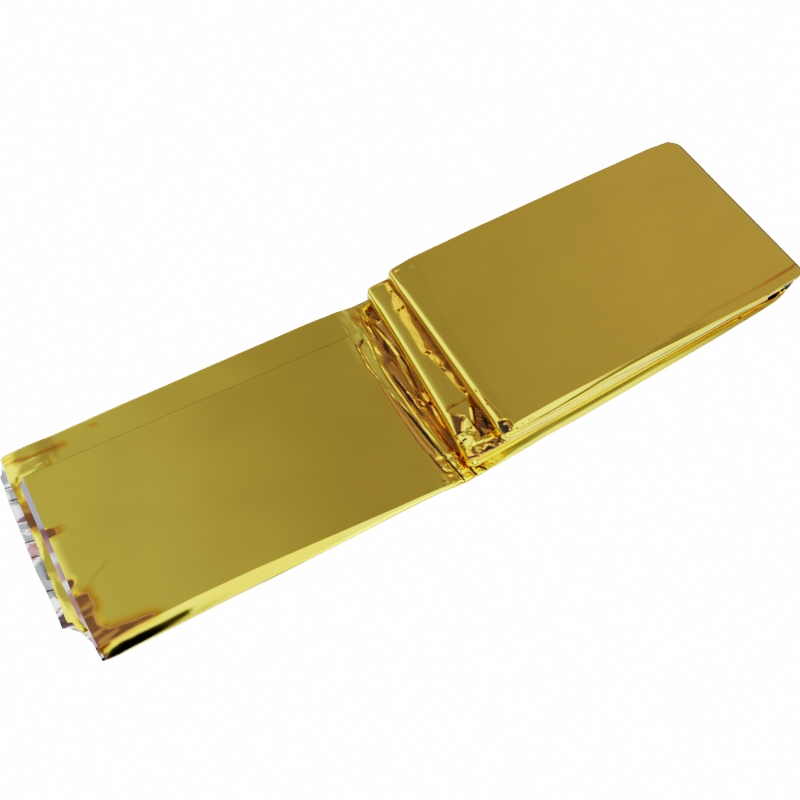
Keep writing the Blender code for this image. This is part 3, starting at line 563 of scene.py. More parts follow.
# ---------------------------------------------------------------- stations along the strip
class Stations:
    """Arrays with one value for each cross-section of the strip, in the order of its route."""

    NAMES = "kind zone u cx cz head middle level square skew nt nb front back at ab mid mt mb".split()

    def __init__(self):
        self.rows = []

    def add(self, **values):
        self.rows.append([values[name] for name in self.NAMES])

    def close(self):
        filled = np.array(self.rows, float)
        for k, name in enumerate(self.NAMES):
            setattr(self, name, filled[:, k][:, None])


PANEL, WRAP, TOP, FOLD_B, FOURTH, INNER, THIRD, FOLD_A, SECOND = range(9)
FOLD_A_X = -5.9  # middle of the first fold's bend
# how finely each stretch is divided across: (uppermost film, underside, next turn), 0 to 3
ZONES = {"end": (3, 1, 3), "middle": (2, 0, 2), "crease": (3, 0, 3), "under": (0, 0, 0), "hidden": (0, 0, 0), "upper": (0, 2, 0), "shown": (0, 3, 0)}
ZONE_NAMES = list(ZONES)


def read(at, pairs):
    xs, values = zip(*pairs)
    return float(np.interp(at, xs, values))


def stations(fine):
    """fine scales the number of stations: 1 for the film that shows."""
    s = Stations()

    def count(n):
        return max(2, int(round(n * fine)))

    flat = dict(middle=0.0, level=0.0, square=0.0)

    # the opened section; u is a share of the way from the free end to the old fold
    shares = np.concatenate([0.125 * np.linspace(0, 1, count(36)) ** 1.3, 0.125 + 0.875 * np.linspace(0, 1, count(58) + 1)[1:] ** 1.35])
    panel = [(-141.8 + share * (HINGE_X0 + 141.8), share) for share in shares]
    xs = list(np.linspace(HINGE_X0, 0.0, count(72) + 1)[1:]) + list(np.linspace(0.0, 24.0, count(16) + 1)[1:])
    xs += list(np.linspace(24.0, 139.3, count(44) + 1)[1:])
    for x, share in panel + [(x, 1.0 + (x - HINGE_X0)) for x in xs]:
        zone = "end" if share < 0.13 else "middle" if x < -26.0 else "crease" if x < 3.0 else "under"
        s.add(
            kind=PANEL, zone=ZONE_NAMES.index(zone), u=share, cx=x, cz=LEVEL["floor"], head=0.0, skew=0.0, **flat,
            nt=read(x, ((-141, 2.15), (-120, 1.95), (-70, 1.55), (-24, 1.25), (-12, 1.4), (4, 1.55), (20, 1.6), (141, 1.6))),
            nb=1.17,
            front=read(x, ((-142, -39.0), (-138, -39.3), (-125, -39.4), (-110, -39.45), (-97, -39.6), (-85, -39.9), (-60, -40.1), (-35, -40.2), (-22, -40.5), (-14, -41.5),
                           (10, -41.6), (20, -41.4), (35, -41.9), (60, -42.0), (103, -42.0), (125, -41.7), (135, -41.4), (140, -40.6))),
            back=read(x, ((-146, 39.4), (-140, 39.8), (-110, 40.5), (-60, 41.1), (-30, 41.3), (-20, 41.0), (-12, 40.2), (30, 39.9), (141, 39.0))),
            at=read(x, ((-141, 4.6), (-131, 5.2), (-111, 5.2), (-88, 4.8), (-67, 3.6), (-38, 1.8), (-20, 1.2), (0, 0.8), (9, 2.6), (125, 2.4), (141, 0.7))),
            ab=read(x, ((-141, 0.7), (-60, 0.7), (-20, 0.8), (141, 0.8))),
            mid=read(x, ((-141, 0.10), (-111, 0.0), (-80, -0.1), (-20, 0.2), (0, 0.5), (9, 1.08), (125, 1.08), (141, 0.5))),
            mt=read(x, ((-141, 1.08), (-111, 1.10), (-80, 1.3), (-30, 1.6), (-10, 2.0), (0, 2.0), (9, 1.15), (125, 1.15), (141, 2.0))),
            mb=read(x, ((-20, 2.0), (0, 2.0), (9, 3.0), (141, 3.0))),
        )

    def arc(kind, zone, n, centre_x, low, high, start, turn, square, skew, ends):
        """A fold between two levels. ends maps a name to its value at the start, middle and end; square
        is 2 for a round fold and more for one pressed flat."""
        radius = (high - low) / 2.0
        side = 1.0 if turn > 0 else -1.0
        for k in range(n + 1):
            part = k / n
            angle = start + turn * part
            values = {name: float(np.interp(part, (0.0, 0.5, 1.0), three)) for name, three in ends.items()}
            s.add(
                kind=kind, zone=ZONE_NAMES.index(zone), u=part, cx=centre_x + side * radius * math.sin(angle),
                cz=(low + high) / 2.0 - side * radius * math.cos(angle), head=angle, skew=skew, middle=centre_x, level=(low + high) / 2.0,
                square=square, **values,
            )

    # round the right-hand end to the top
    arc(
        WRAP, "upper", count(36), 139.9, LEVEL["floor"], LEVEL["top"], 0.0, math.pi, 2.2, 0.012,
        dict(nt=(1.6, 1.5, 1.5), nb=(1.17, 1.2, 1.2), front=(-40.6, -38.4, -41.4), back=(39.0, 31.0, 38.0),
             at=(0.7, 1.6, 1.0), ab=(0.8, 1.4, 0.9), mid=(0.5, 0.4, 0.6), mt=(2, 2, 2), mb=(3.0, 2.0, 2.2)),
    )
    # the top, towards the left
    for x in list(np.linspace(139.9, 30.0, count(46) + 1)[1:]) + list(np.linspace(30.0, 4.3, count(34) + 2)[1:-1]):
        t = (139.9 - x) / 135.6
        s.add(
            kind=TOP, zone=ZONE_NAMES.index("upper" if x > 14 else "shown"), u=x, cx=x, cz=LEVEL["top"], head=math.pi, **flat,
            skew=0.012 + 0.022 * t, nt=1.45, nb=1.2,
            front=read(x, ((5, -38.3), (20, -38.9), (40, -39.1), (56, -39.2), (66, -39.5), (76, -40.1), (86, -40.6), (96, -40.9), (106, -41.2), (115, -41.5), (125, -41.7), (140, -41.4))),
            back=read(x, ((5, 39.6), (12, 40.3), (40, 40.3), (100, 39.5), (130, 38.9), (139.9, 38.0))),
            at=0.8, ab=0.9, mid=read(x, ((5, 0.2), (60, 0.4), (141, 0.6))), mt=2.0, mb=2.2,
        )
    arc(
        FOLD_B, "shown", count(28), 4.3, LEVEL["fourth"], LEVEL["top"], math.pi, math.pi, 2.1, 0.034,
        dict(nt=(1.45, 1.4, 1.5), nb=(1.2, 1.4, 1.6), front=(-38.3, -37.2, -38.6), back=(39.6, 38.9, 39.8),
             at=(0.8, 1.0, 0.7), ab=(1.0, 1.4, 1.2), mid=(0.2, 0.2, 0.0), mt=(2, 2, 2.4), mb=(2, 2, 2)),
    )
    for x in np.linspace(4.3, 133.6, count(44) + 2)[1:-1]:
        s.add(
            kind=FOURTH, zone=ZONE_NAMES.index("hidden"), u=x, cx=x, cz=LEVEL["fourth"], head=2 * math.pi, **flat,
            skew=0.034 * (1 - (x - 4.3) / 129.3), nt=1.5, nb=1.62,
            front=read(x, ((5, -38.7), (24, -39.1), (60, -39.3), (103, -39.5), (135, -39.4))), back=39.8, at=0.5, ab=0.5, mid=0.4,
            mt=3.0, mb=3.2,
        )
    arc(
        INNER, "hidden", count(12), 133.2, LEVEL["third"], LEVEL["fourth"], 2 * math.pi, -math.pi, 2.0, 0.0,
        dict(nt=(1.5, 1.5, 1.5), nb=(1.62, 1.5, 1.6), front=(-39.6, -38.6, -39.8), back=(39.8, 39.0, 40.0),
             at=(0.55, 1.0, 0.7), ab=(0.8, 1.0, 0.7), mid=(0.6, 0, 0), mt=(2.6, 2, 2.4), mb=(2.6, 2, 2.4)),
    )
    third = list(np.linspace(133.2, 10.0, count(40) + 2)[1:-1]) + list(np.linspace(10.0, FOLD_A_X, count(44) + 1)[:-1])
    for x in third:
        s.add(
            kind=THIRD, zone=ZONE_NAMES.index("hidden" if x > 10.5 else "shown"), u=x, cx=x, cz=LEVEL["third"], head=math.pi, **flat,
            skew=0.081 * (133.2 - x) / (133.2 - FOLD_A_X), nt=1.5, nb=1.6,
            front=read(x, ((-4, -38.2), (8, -38.6), (24, -39.1), (60, -39.4), (103, -39.6), (135, -39.6))), back=40.3, at=0.5,
            ab=read(x, ((8, 0.8), (24, 0.45))), mid=0.1, mt=3.0, mb=read(x, ((8, 2.4), (24, 3.2))),
        )
    arc(
        FOLD_A, "shown", count(30), FOLD_A_X, LEVEL["second"], LEVEL["third"], math.pi, math.pi, 3.0, 0.081,
        dict(nt=(1.5, 1.4, 1.5), nb=(1.6, 1.5, 1.5), front=(-38.2, -37.4, -39.0), back=(40.3, 39.6, 40.0),
             at=(0.8, 1.2, 1.0), ab=(0.8, 1.2, 1.0), mid=(0.1, 0, 0), mt=(2.2, 2, 2.2), mb=(2.2, 2, 2.2)),
    )
    for x in np.linspace(FOLD_A_X, 130.0, count(42) + 2)[1:]:
        s.add(
            kind=SECOND, zone=ZONE_NAMES.index("hidden"), u=x, cx=x, cz=LEVEL["second"], head=2 * math.pi, **flat,
            skew=0.081 * (1 - (x - FOLD_A_X) / (130.0 - FOLD_A_X)), nt=1.5, nb=1.5,
            front=read(x, ((-4, -39.0), (10, -39.2), (24, -39.3), (60, -39.5), (103, -39.7), (131, -39.7))), back=40.2, at=0.45, ab=0.6,
            mid=0.0, mt=3.2, mb=3.0,
        )
    s.close()
    return s


# ---------------------------------------------------------------- points across the strip
UPPER, FRONT_UP, FRONT_LOW, LOWER, BACK, NEXT, CURL = range(7)


def columns(fine, inner=False):
    """(part, value, rank) of each point across the strip: from the uppermost film's cut edge over the
    front fold, along the underside, round the back fold and in over the next turn. A stretch of the
    strip that is finely divided uses every rank, and a hidden one only rank 0."""
    cols = []

    def run(part, values, ranked):
        for k, value in enumerate(values):
            rank = 0 if not ranked or k % 16 == 0 else 1 if k % 4 == 0 else 2 if k % 2 == 0 else 3
            cols.append((part, value, rank))

    def count(n, least):
        return max(least, int(round(n * fine)))

    n = 4 * count(33, 8)
    run(UPPER, 1.0 - (1.0 - np.linspace(0, 1, n + 1)[:-1]) ** 1.06, True)
    cols.insert(1, (UPPER, 0.004, 0))
    run(FRONT_UP, np.linspace(0, 1, count(18, 3) + 1)[:-1], False)
    run(FRONT_LOW, np.linspace(0, 1, count(12, 3) + 1)[:-1], False)
    run(LOWER, np.linspace(0, 1, 4 * count(33, 8) + 1)[:-1] ** 1.25, True)
    run(BACK, np.linspace(0, 1, count(8, 3) + 1)[:-1], False)
    # the inner film sticks out at the free end, where it is divided finely
    run(NEXT, np.linspace(0, 1, (112 if inner else 4 * count(11, 4)) + 1)[:-1] ** (1.0 if inner else 1.55), True)
    run(CURL, np.linspace(0, 1, 3), False)
    part, value, rank = (np.array(c) for c in zip(*cols))
    return part.astype(int), value, rank.astype(int)


def used_columns(s, part, rank):
    """Which columns each station uses."""
    most = np.zeros((len(s.cx), len(part)), int)
    for k, (upper, lower, following) in enumerate(ZONES.values()):
        here = (s.zone[:, 0] == k)[:, None]
        most = np.where(here & (part == UPPER)[None, :], upper, most)
        most = np.where(here & (part == LOWER)[None, :], lower, most)
        most = np.where(here & (part == NEXT)[None, :], following, most)
    return rank[None, :] <= most


def free_end(part, y, inner):
    """x of the cut end for each point across the strip."""
    if inner:
        first = ((-41, -141.4), (-36, -141.9), (-23, -142.8), (-9, -143.4), (8, -143.4), (26.6, -143.6), (27.2, -142.3), (29, -142.1))
        low = ((-41, -139.4), (-38.4, -139.8), (-36.0, -141.3), (-31.3, -142.4), (-27.3, -144.1), (-24.9, -146.0), (-23.8, -148.5), (-12.0, -148.6), (-4, -149.1), (5, -149.2),
                   (14, -149.0), (22, -149.0), (29, -148.5), (33.6, -148.5), (34.6, -146.9), (39, -146.3))
    else:
        first = ((-41, -139.8), (-36, -140.9), (-28, -141.5), (-18, -141.8), (28.5, -141.8))
        low = ((-41, -139.4), (-36.0, -140.9), (-31, -141.9), (-28.0, -143.2), (-25.0, -145.4), (-23.5, -146.4), (-8, -146.2), (7, -145.8), (26.6, -146.0), (30, -146.3), (38, -145.9), (41, -145.0))
    upper = np.isin(part, (UPPER, FRONT_UP))
    return np.where(upper[None, :], np.interp(y, *zip(*first)), np.interp(y, *zip(*low)))


def deep(s):
    """1 beside the gathered film, where the layers inside are kept further down."""
    return np.isin(s.kind, (TOP, THIRD, FOLD_A)) * smooth((15.0 - s.cx) / 3.0)


def film_points(fine_along, fine_across, inset, inner=False):
    """Points of one film, rows by stations and columns across, in metres, with the tone of each."""
    s = stations(fine_along)
    part, value, rank = columns(fine_across, inner)
    p, t = part[None, :], value[None, :]
    x = s.cx
    shape = (len(s.cx), len(part))

    upper_front = s.front + s.at
    lower_front = s.front + s.ab
    next_n = s.nt - np.where(s.kind == PANEL, 1.05 - 0.25 * smooth((x + 100) / 60.0), 0.7)
    rb = np.where(s.kind == PANEL, 1.1, 1.5)
    lower_back = s.back - rb
    y = np.zeros(shape)
    n = np.zeros(shape)

    def put(which, at_y, at_n):
        mask = np.broadcast_to(p == which, shape)
        y[mask] = np.broadcast_to(at_y, shape)[mask]
        n[mask] = np.broadcast_to(at_n, shape)[mask]

    quarter = t * math.pi / 2.0
    put(UPPER, EDGE_Y + (upper_front - EDGE_Y) * t, s.nt)
    put(FRONT_UP, upper_front - s.at * np.sin(quarter) ** (2.0 / s.mt), s.mid + (s.nt - s.mid) * np.cos(quarter) ** (2.0 / s.mt))
    put(FRONT_LOW, lower_front - s.ab * np.cos(quarter) ** (2.0 / s.mb), s.mid - (s.mid + s.nb) * np.sin(quarter) ** (2.0 / s.mb))
    put(LOWER, lower_front + (lower_back - lower_front) * t, -s.nb)
    half = t * math.pi
    put(BACK, lower_back + rb * np.sin(half), (next_n - s.nb) / 2.0 - (next_n + s.nb) / 2.0 * np.cos(half))
    put(NEXT, lower_back + (-28.0 - lower_back) * t, next_n)
    put(CURL, -28.0 - 1.0 * np.sin(half), next_n - 0.35 + 0.35 * np.cos(half))

    # the inner film lies inside the outer one all the way round
    if inset:
        pull = np.where(s.kind == PANEL, inset + 0.25 * window(x, -24.0, 8.0, 3.0), inset + 0.55 * deep(s))
        sign = np.select([p <= FRONT_UP, p <= LOWER], [-1.0, 1.0], -1.0)
        sign = np.where(p == BACK, np.cos(half), sign)
        n = n + pull * sign
        y = np.clip(y, s.front + pull, s.back - pull)

    # ---- along the strip: the cut end is different for each point across
    end = free_end(part, y, inner)
    on_panel = np.broadcast_to(s.kind == PANEL, shape)
    share = np.broadcast_to(np.clip(s.u, 0.0, 1.0), shape)
    x_all = np.broadcast_to(x, shape).copy()
    x_all = np.where(on_panel & (share < 1.0), end + share * (HINGE_X0 - end), x_all)

    # ---- the levels and the folds between them, before any shape of their own
    base_x = x_all - np.sin(s.head) * n
    base_z = s.cz + np.cos(s.head) * n
    out, up = base_x - s.middle, base_z - s.level
    length = np.hypot(out, up) + 1e-9
    power = np.where(s.square > 0, s.square + np.where(np.isin(s.kind, (FOLD_A, FOLD_B)), 2.2 * smooth((y - 29.0) / 8.0), 0.0), 2.0)
    swell = np.where(s.square > 0, (np.abs(out / length) ** power + np.abs(up / length) ** power) ** (-1.0 / power), 1.0)
    base_x = np.where(s.square > 0, s.middle + out * swell, base_x)
    base_z = np.where(s.square > 0, s.level + up * swell, base_z)

    # ---- shape of the film off its level: lift is along its own normal, rise is straight up
    lift, rise, tone = np.zeros(shape), np.zeros(shape), np.zeros(shape)
    rows = np.nonzero(s.kind[:, 0] == PANEL)[0]

    def draw(rows, cols, make, side=1.0, weight=None):
        """Run make over part of the film and add what it draws. side is -1 where the film faces down
        its own strip, which is up on the table, and 0 where it draws on the upper half of a fold."""
        spot = np.ix_(rows, cols)
        work = Sheetwork(base_x[spot] if side < 1.0 else x_all[spot], y[spot])
        make(work, end[spot])
        w = 1.0 if weight is None else weight[spot]
        lift[spot] += side * work.lift * w
        if side == 0.0:
            rise[spot] += work.lift * w
        tone[spot] = np.maximum(tone[spot], np.clip(work.tone, 0.0, 1.0) * (1.0 if weight is None else np.sqrt(w)))

    fall = np.where(p == FRONT_UP, np.cos(quarter) ** 2, 1.0) * np.ones(shape)
    reach = smooth((x_all + 23.0) / 2.0) * smooth((8.0 - x_all) / 6.0)
    top_cols = np.nonzero(np.isin(part, (UPPER, FRONT_UP)))[0]
    next_cols = np.nonzero(part == NEXT)[0]
    back_cols = np.nonzero(part == BACK)[0]
    front_cols = np.nonzero(part == FRONT_UP)[0]
    opened = rows[s.cx[rows, 0] < -21.0]
    crease = rows[(s.cx[rows, 0] > -24.0) & (s.cx[rows, 0] < 9.0)]
    if inner:
        draw(opened, top_cols, lambda w, e: upper_end(w, e), weight=fall * (1 - reach))
        lift[np.ix_(opened, top_cols)] -= 0.10
        tone[:] = 0.0
        edge = np.ix_(opened, top_cols)
        tone[edge] = table(y[edge], EDGE_TONE)
        draw(opened, next_cols, lambda w, e: next_turn_end(w, e, True))
        # it never stands above the gold film that covers it
        spot = np.ix_(opened, next_cols)
        away = x_all[spot] - free_end(part, y, False)[spot]
        cover = falling(np.maximum(away, 0.0), table(y[spot] + 0.30 * (away - 2.0), NEXT_FALL), 6.0) + 0.14 * np.minimum(away, 0.0)
        lift[spot] = np.minimum(lift[spot], cover)
        marks = Sheetwork(x_all[spot], y[spot])
        lining_marks(marks)
        tone[spot] = np.where(x_all[spot] < -142.0, marks.tone, tone[spot])
        lift[np.ix_(crease, top_cols)] -= 0.25 * reach[np.ix_(crease, top_cols)]
    else:
        draw(opened, top_cols, lambda w, e: upper_end(w, e), weight=fall * (1 - reach))
        draw(crease, top_cols, lambda w, e: old_fold(w), weight=fall * reach)
        draw(opened, next_cols, lambda w, e: next_turn_end(w, e, False))
        draw(opened, back_cols, lambda w, e: next_turn_end(w, e, False), weight=(1 - np.cos(half)) / 2.0 * np.ones(shape))
        draw(opened, front_cols, lambda w, e: front_band(w))
        spot = np.ix_(opened, front_cols)
        band = Sheetwork(x_all[spot], y[spot])
        front_band(band)
        tone[spot] = np.where(band.tone < -0.01, band.tone, tone[spot])
        # the back strip beside the old fold is creased with it
        strip = np.clip(0.55 + 1.1 * smooth((y - 27.0) / 2.0), 0, 1) * reach * 0.8
        draw(crease, next_cols, lambda w, e: old_fold(w), weight=strip * (y > 26.0))

    low_front = np.where(p == FRONT_LOW, np.sin(quarter) ** 2, 1.0) * np.ones(shape)
    lower_cols = np.nonzero(np.isin(part, (LOWER, FRONT_LOW)))[0]
    shown_x, shown_fold = s.cx[:, 0] < 14.0, s.u[:, 0] < 0.62
    if not inner:
        for kind, fold, flat_top, make in ((THIRD, FOLD_A, 9.6, shoulder), (TOP, FOLD_B, 16.0, top_corner)):
            draw(np.nonzero((s.kind[:, 0] == kind) & shown_x)[0], lower_cols, lambda w, e: make(w), -1.0, low_front)
            over = smooth((base_z - flat_top + 2.0) / 1.4) * low_front
            draw(np.nonzero((s.kind[:, 0] == fold) & shown_fold)[0], lower_cols, lambda w, e: make(w), 0.0, over)

    # ---- the top and its folds
    top = np.broadcast_to(np.isin(s.kind, (TOP, FOLD_B, WRAP)) & np.isin(p, (LOWER, FRONT_LOW)), shape)
    easing = np.where(s.kind == FOLD_B, smooth(1.0 - 2.0 * s.u), np.where(s.kind == WRAP, smooth((s.u - 0.45) / 0.5), 1.0)) * np.ones(shape)
    top_lift = 0.14 * waves(x_all * 0.8, y * 0.8, 60.0, 61) * smooth((x_all - 5.0) / 30.0)
    border = table(y, ((32, 12.4), (20, 9.5), (6, 7.9), (-26, 6.6)))
    slope_off = np.maximum(border - x_all, 0.0)
    top_lift += -0.080 * (np.sqrt(slope_off ** 2 + 0.09) - 0.3 * (slope_off <= 0)) * (slope_off > 0)
    top_lift += bump(x_all, y, 9.5, 36.0, 2.2, 0.9, -0.30, -0.5)
    # along the front it turns down twice: a narrow bright slope, then a wider gentle one
    first, second = table(x_all, BEVEL_FIRST), table(x_all, BEVEL_SECOND)
    top_lift -= 0.42 * np.clip(first - y, 0.0, first - second) + 0.06 * np.maximum(second - y, 0.0)
    lift = lift + np.where(top, -top_lift * low_front * easing, 0.0)
    # beyond the slope a narrow flat with painted shade; towards the right a fine crease runs along it, drawn only as a
    # painted dark line
    flat = top & (s.kind != FOLD_B) & (p == LOWER)
    shaded = 0.40 * np.clip((second - y) / 0.25, 0.0, 1.0) * smooth((100.0 - x_all) / 20.0)
    tone = np.where(flat & (tone < 0.05), -shaded, tone)
    crossing = flat & (x_all > 84.0)
    used = used_columns(s, part, rank)
    gap = np.where(crossing & used, np.abs(y - first), 1e9)
    nearest = crossing & (gap <= gap.min(axis=1, keepdims=True) + 1e-6)
    tone = np.where(nearest, 0.28 + 0.62 * smooth((x_all - 112.0) / 26.0), tone)

    if not inner:
        # the feet of the folds get a painted brown reflection of the film beside them, painted orange by the flakes
        for kind, below in ((FOLD_A, 7.9), (FOLD_B, 14.2)):
            foot = np.broadcast_to((s.kind == kind) & (p == LOWER), shape) & (base_x < s.middle)
            brown = 0.79
            if kind == FOLD_A:
                brown = np.where((base_z > table(y, FLAKE)) & (np.abs(y + 10.2) > 0.5), 0.36, 0.79)
            tone = np.where(foot, np.maximum(tone, brown * smooth((below - base_z) / 0.5) * smooth((y + 31.0) / 2.0)), tone)
        # fine dark outlines of painted shade: a painted shadow line at the uppermost film's long cut edge, and painted
        # shade along the back fold
        near_end = on_panel & (x_all < -2.0)
        tone = np.where(near_end & (p == UPPER) & (t == 0.0), -0.9, tone)
        rim = -0.75 * smooth((0.86 - t) / 0.25)
        tone = np.where(near_end & (p == BACK) & (tone < 0.05), rim, tone)

    # ---- bundle edges are never quite straight
    ripple = 0.07 * waves(x_all * 0.35, s.cz * 7.0, 14.0, 91) + 0.025 * waves(x_all, s.cz * 9.0, 6.0, 92)
    edge = np.isin(p, (FRONT_UP, FRONT_LOW)) * smooth((x_all - 2.0) / 16.0)
    y = y + ripple * edge * np.where(s.kind == TOP, 0.35, np.where(s.kind == PANEL, 0.5, 1.0))

    at_x = base_x - np.sin(s.head) * lift + s.skew * y
    at_z = base_z + np.cos(s.head) * lift + rise
    at_z = np.where(on_panel, np.maximum(at_z, 0.03), at_z)
    if not inner:
        # the bundle's front, marked with painted shade and painted reflections in its own plane
        front = np.broadcast_to(np.isin(p, (UPPER, FRONT_UP, FRONT_LOW)), shape) & (at_x > 1.0) & (y < -36.0)
        front = front & ~((s.kind == TOP) & (y > table(x_all, BEVEL_SECOND) - 0.4))
        work = Sheetwork(*sighted(at_x[front], y[front], at_z[front]))
        bundle_front(work)
        tone[front] = np.where(np.abs(work.tone) > 0.01, work.tone, tone[front])
        # a dark line of painted shade along the foot of the opened section, just above the floor
        foot = np.isin(p, (FRONT_UP, FRONT_LOW)) & on_panel & (x_all < -21.0)
        height = table(x_all, ((-141, 1.3), (-100, 1.35), (-84, 1.55), (-60, 1.6), (-30, 1.3), (-21, 0.9)))
        tone = np.where(foot & (at_z < height), np.minimum(tone, -1.16 * smooth((height - at_z) / 0.3)), tone)
    return placed(at_x, y, at_z), np.clip(tone, -1.18, 1.0), used


def core_points():
    """The layers wound up inside: one long zigzag that follows the route, inside the outer films."""
    layers, across = 32, (-37.2, -12.5, 12.5, 37.2)
    s = stations(0.13)
    rows = len(s.cx)
    ys, share = [], []
    for k in range(layers):
        ys += list(across if k % 2 == 0 else across[::-1])
        share += [k / (layers - 1)] * len(across)
    y = np.array(ys)[None, :] * np.ones((rows, 1))
    share = np.array(share)[None, :]
    low, high = -(s.nb - 0.62 - 0.55 * deep(s)), (s.nt - np.where(s.kind == PANEL, 1.62, 1.3))
    near = smooth((s.cx + 23.0) / 4.0) * smooth((6.0 - s.cx) / 4.0) * (s.kind == PANEL)
    high = high - 0.45 * near
    n = low + (high - low) * share
    y = np.clip(y, s.front + 1.7 + 2.6 * smooth((-60.0 - s.cx) / 30.0), s.back - 1.7)
    rng = np.random.RandomState(4)
    ends = -141.6 - rng.uniform(0.0, 3.4, layers)
    end = np.repeat(ends, len(across))[None, :] + 0.02 * y
    end = np.maximum(end, -145.0)
    end = np.where(y < -28, np.maximum(end, -140.6), end)
    sh = np.clip(s.u, 0.0, 1.0)
    x = np.where((s.kind == PANEL) & (sh < 1.0), end + sh * (HINGE_X0 - end), s.cx)
    # the layers sag with the free end
    n = n - np.where(s.kind == PANEL, 0.9 * share * smooth(1.0 - (x + 145.0) / 10.0), 0.0)
    at_x = x - np.sin(s.head) * n + s.skew * y
    at_z = s.cz + np.cos(s.head) * n
    return placed(at_x, y, np.maximum(at_z, 0.05)), s


# ---------------------------------------------------------------- mesh
def stitched(used, first):
    """Faces between neighbouring stations, which may use different columns, and the numbering."""
    index = np.full(used.shape, -1)
    index[used] = first + np.arange(int(used.sum()))
    faces = []
    for r in range(len(used) - 1):
        a, b = used[r], used[r + 1]
        if (a == b).all():
            c = np.nonzero(a)[0]
            quads = np.stack([index[r, c[:-1]], index[r, c[1:]], index[r + 1, c[1:]], index[r + 1, c[:-1]]], axis=-1)
            faces += quads.tolist()
            continue
        shared = np.nonzero(a & b)[0]
        for j, k in zip(shared[:-1], shared[1:]):
            low = [int(index[r, c]) for c in range(j, k + 1) if a[c]]
            high = [int(index[r + 1, c]) for c in range(j, k + 1) if b[c]]
            faces.append(low + high[::-1])
    return faces


def film_mesh():
    outer, outer_tone, outer_used = film_points(1.0, 0.86, 0.0)
    inner, inner_tone, inner_used = film_points(0.42, 0.42, 0.32, inner=True)
    core, _ = core_points()
    whole = np.ones(core.shape[:2], bool)
    points, faces, slots, tones, first = [], [], [], [], 0
    # the wound-up layers all carry tone 0.35, a painted reflection tint: orange on their gold faces
    for block, tone, used, slot in ((outer, outer_tone, outer_used, 0), (inner, inner_tone, inner_used, 1), (core, np.full(core.shape[:2], 0.35), whole, 1)):
        points.append(block[used])
        tones.append(tone[used])
        made = stitched(used, first)
        faces += made
        if block is core:
            cols = core.shape[1]
            layer = (np.arange(cols - 1)[None, :] // 4 + np.zeros((core.shape[0] - 1, 1), int)).reshape(-1)
            slots.append((layer // 2) % 2)
        else:
            slots.append(np.full(len(made), slot))
        first += int(used.sum())
    points, tones, slots = np.concatenate(points), np.concatenate(tones), np.concatenate(slots)
    mesh = bpy.data.meshes.new("foil_film")
    mesh.from_pydata(points.tolist(), [], faces)
    mesh.polygons.foreach_set("material_index", slots.astype(np.int32))
    mesh.polygons.foreach_set("use_smooth", np.ones(len(faces), bool))
    # the tone attribute holds painted shade and painted reflections, read by the film's material
    layer = mesh.attributes.new("painted_shade_and_reflection", "FLOAT", "POINT")
    layer.data.foreach_set("value", tones.astype(np.float32))
    mesh.update()
    print("foil_film triangles", sum(len(f) - 2 for f in faces))
    return mesh


# ---------------------------------------------------------------- materials
def node(tree, kind, **settings):
    made = tree.nodes.new(kind)
    for key, value in settings.items():
        setattr(made, key, value)
    return made


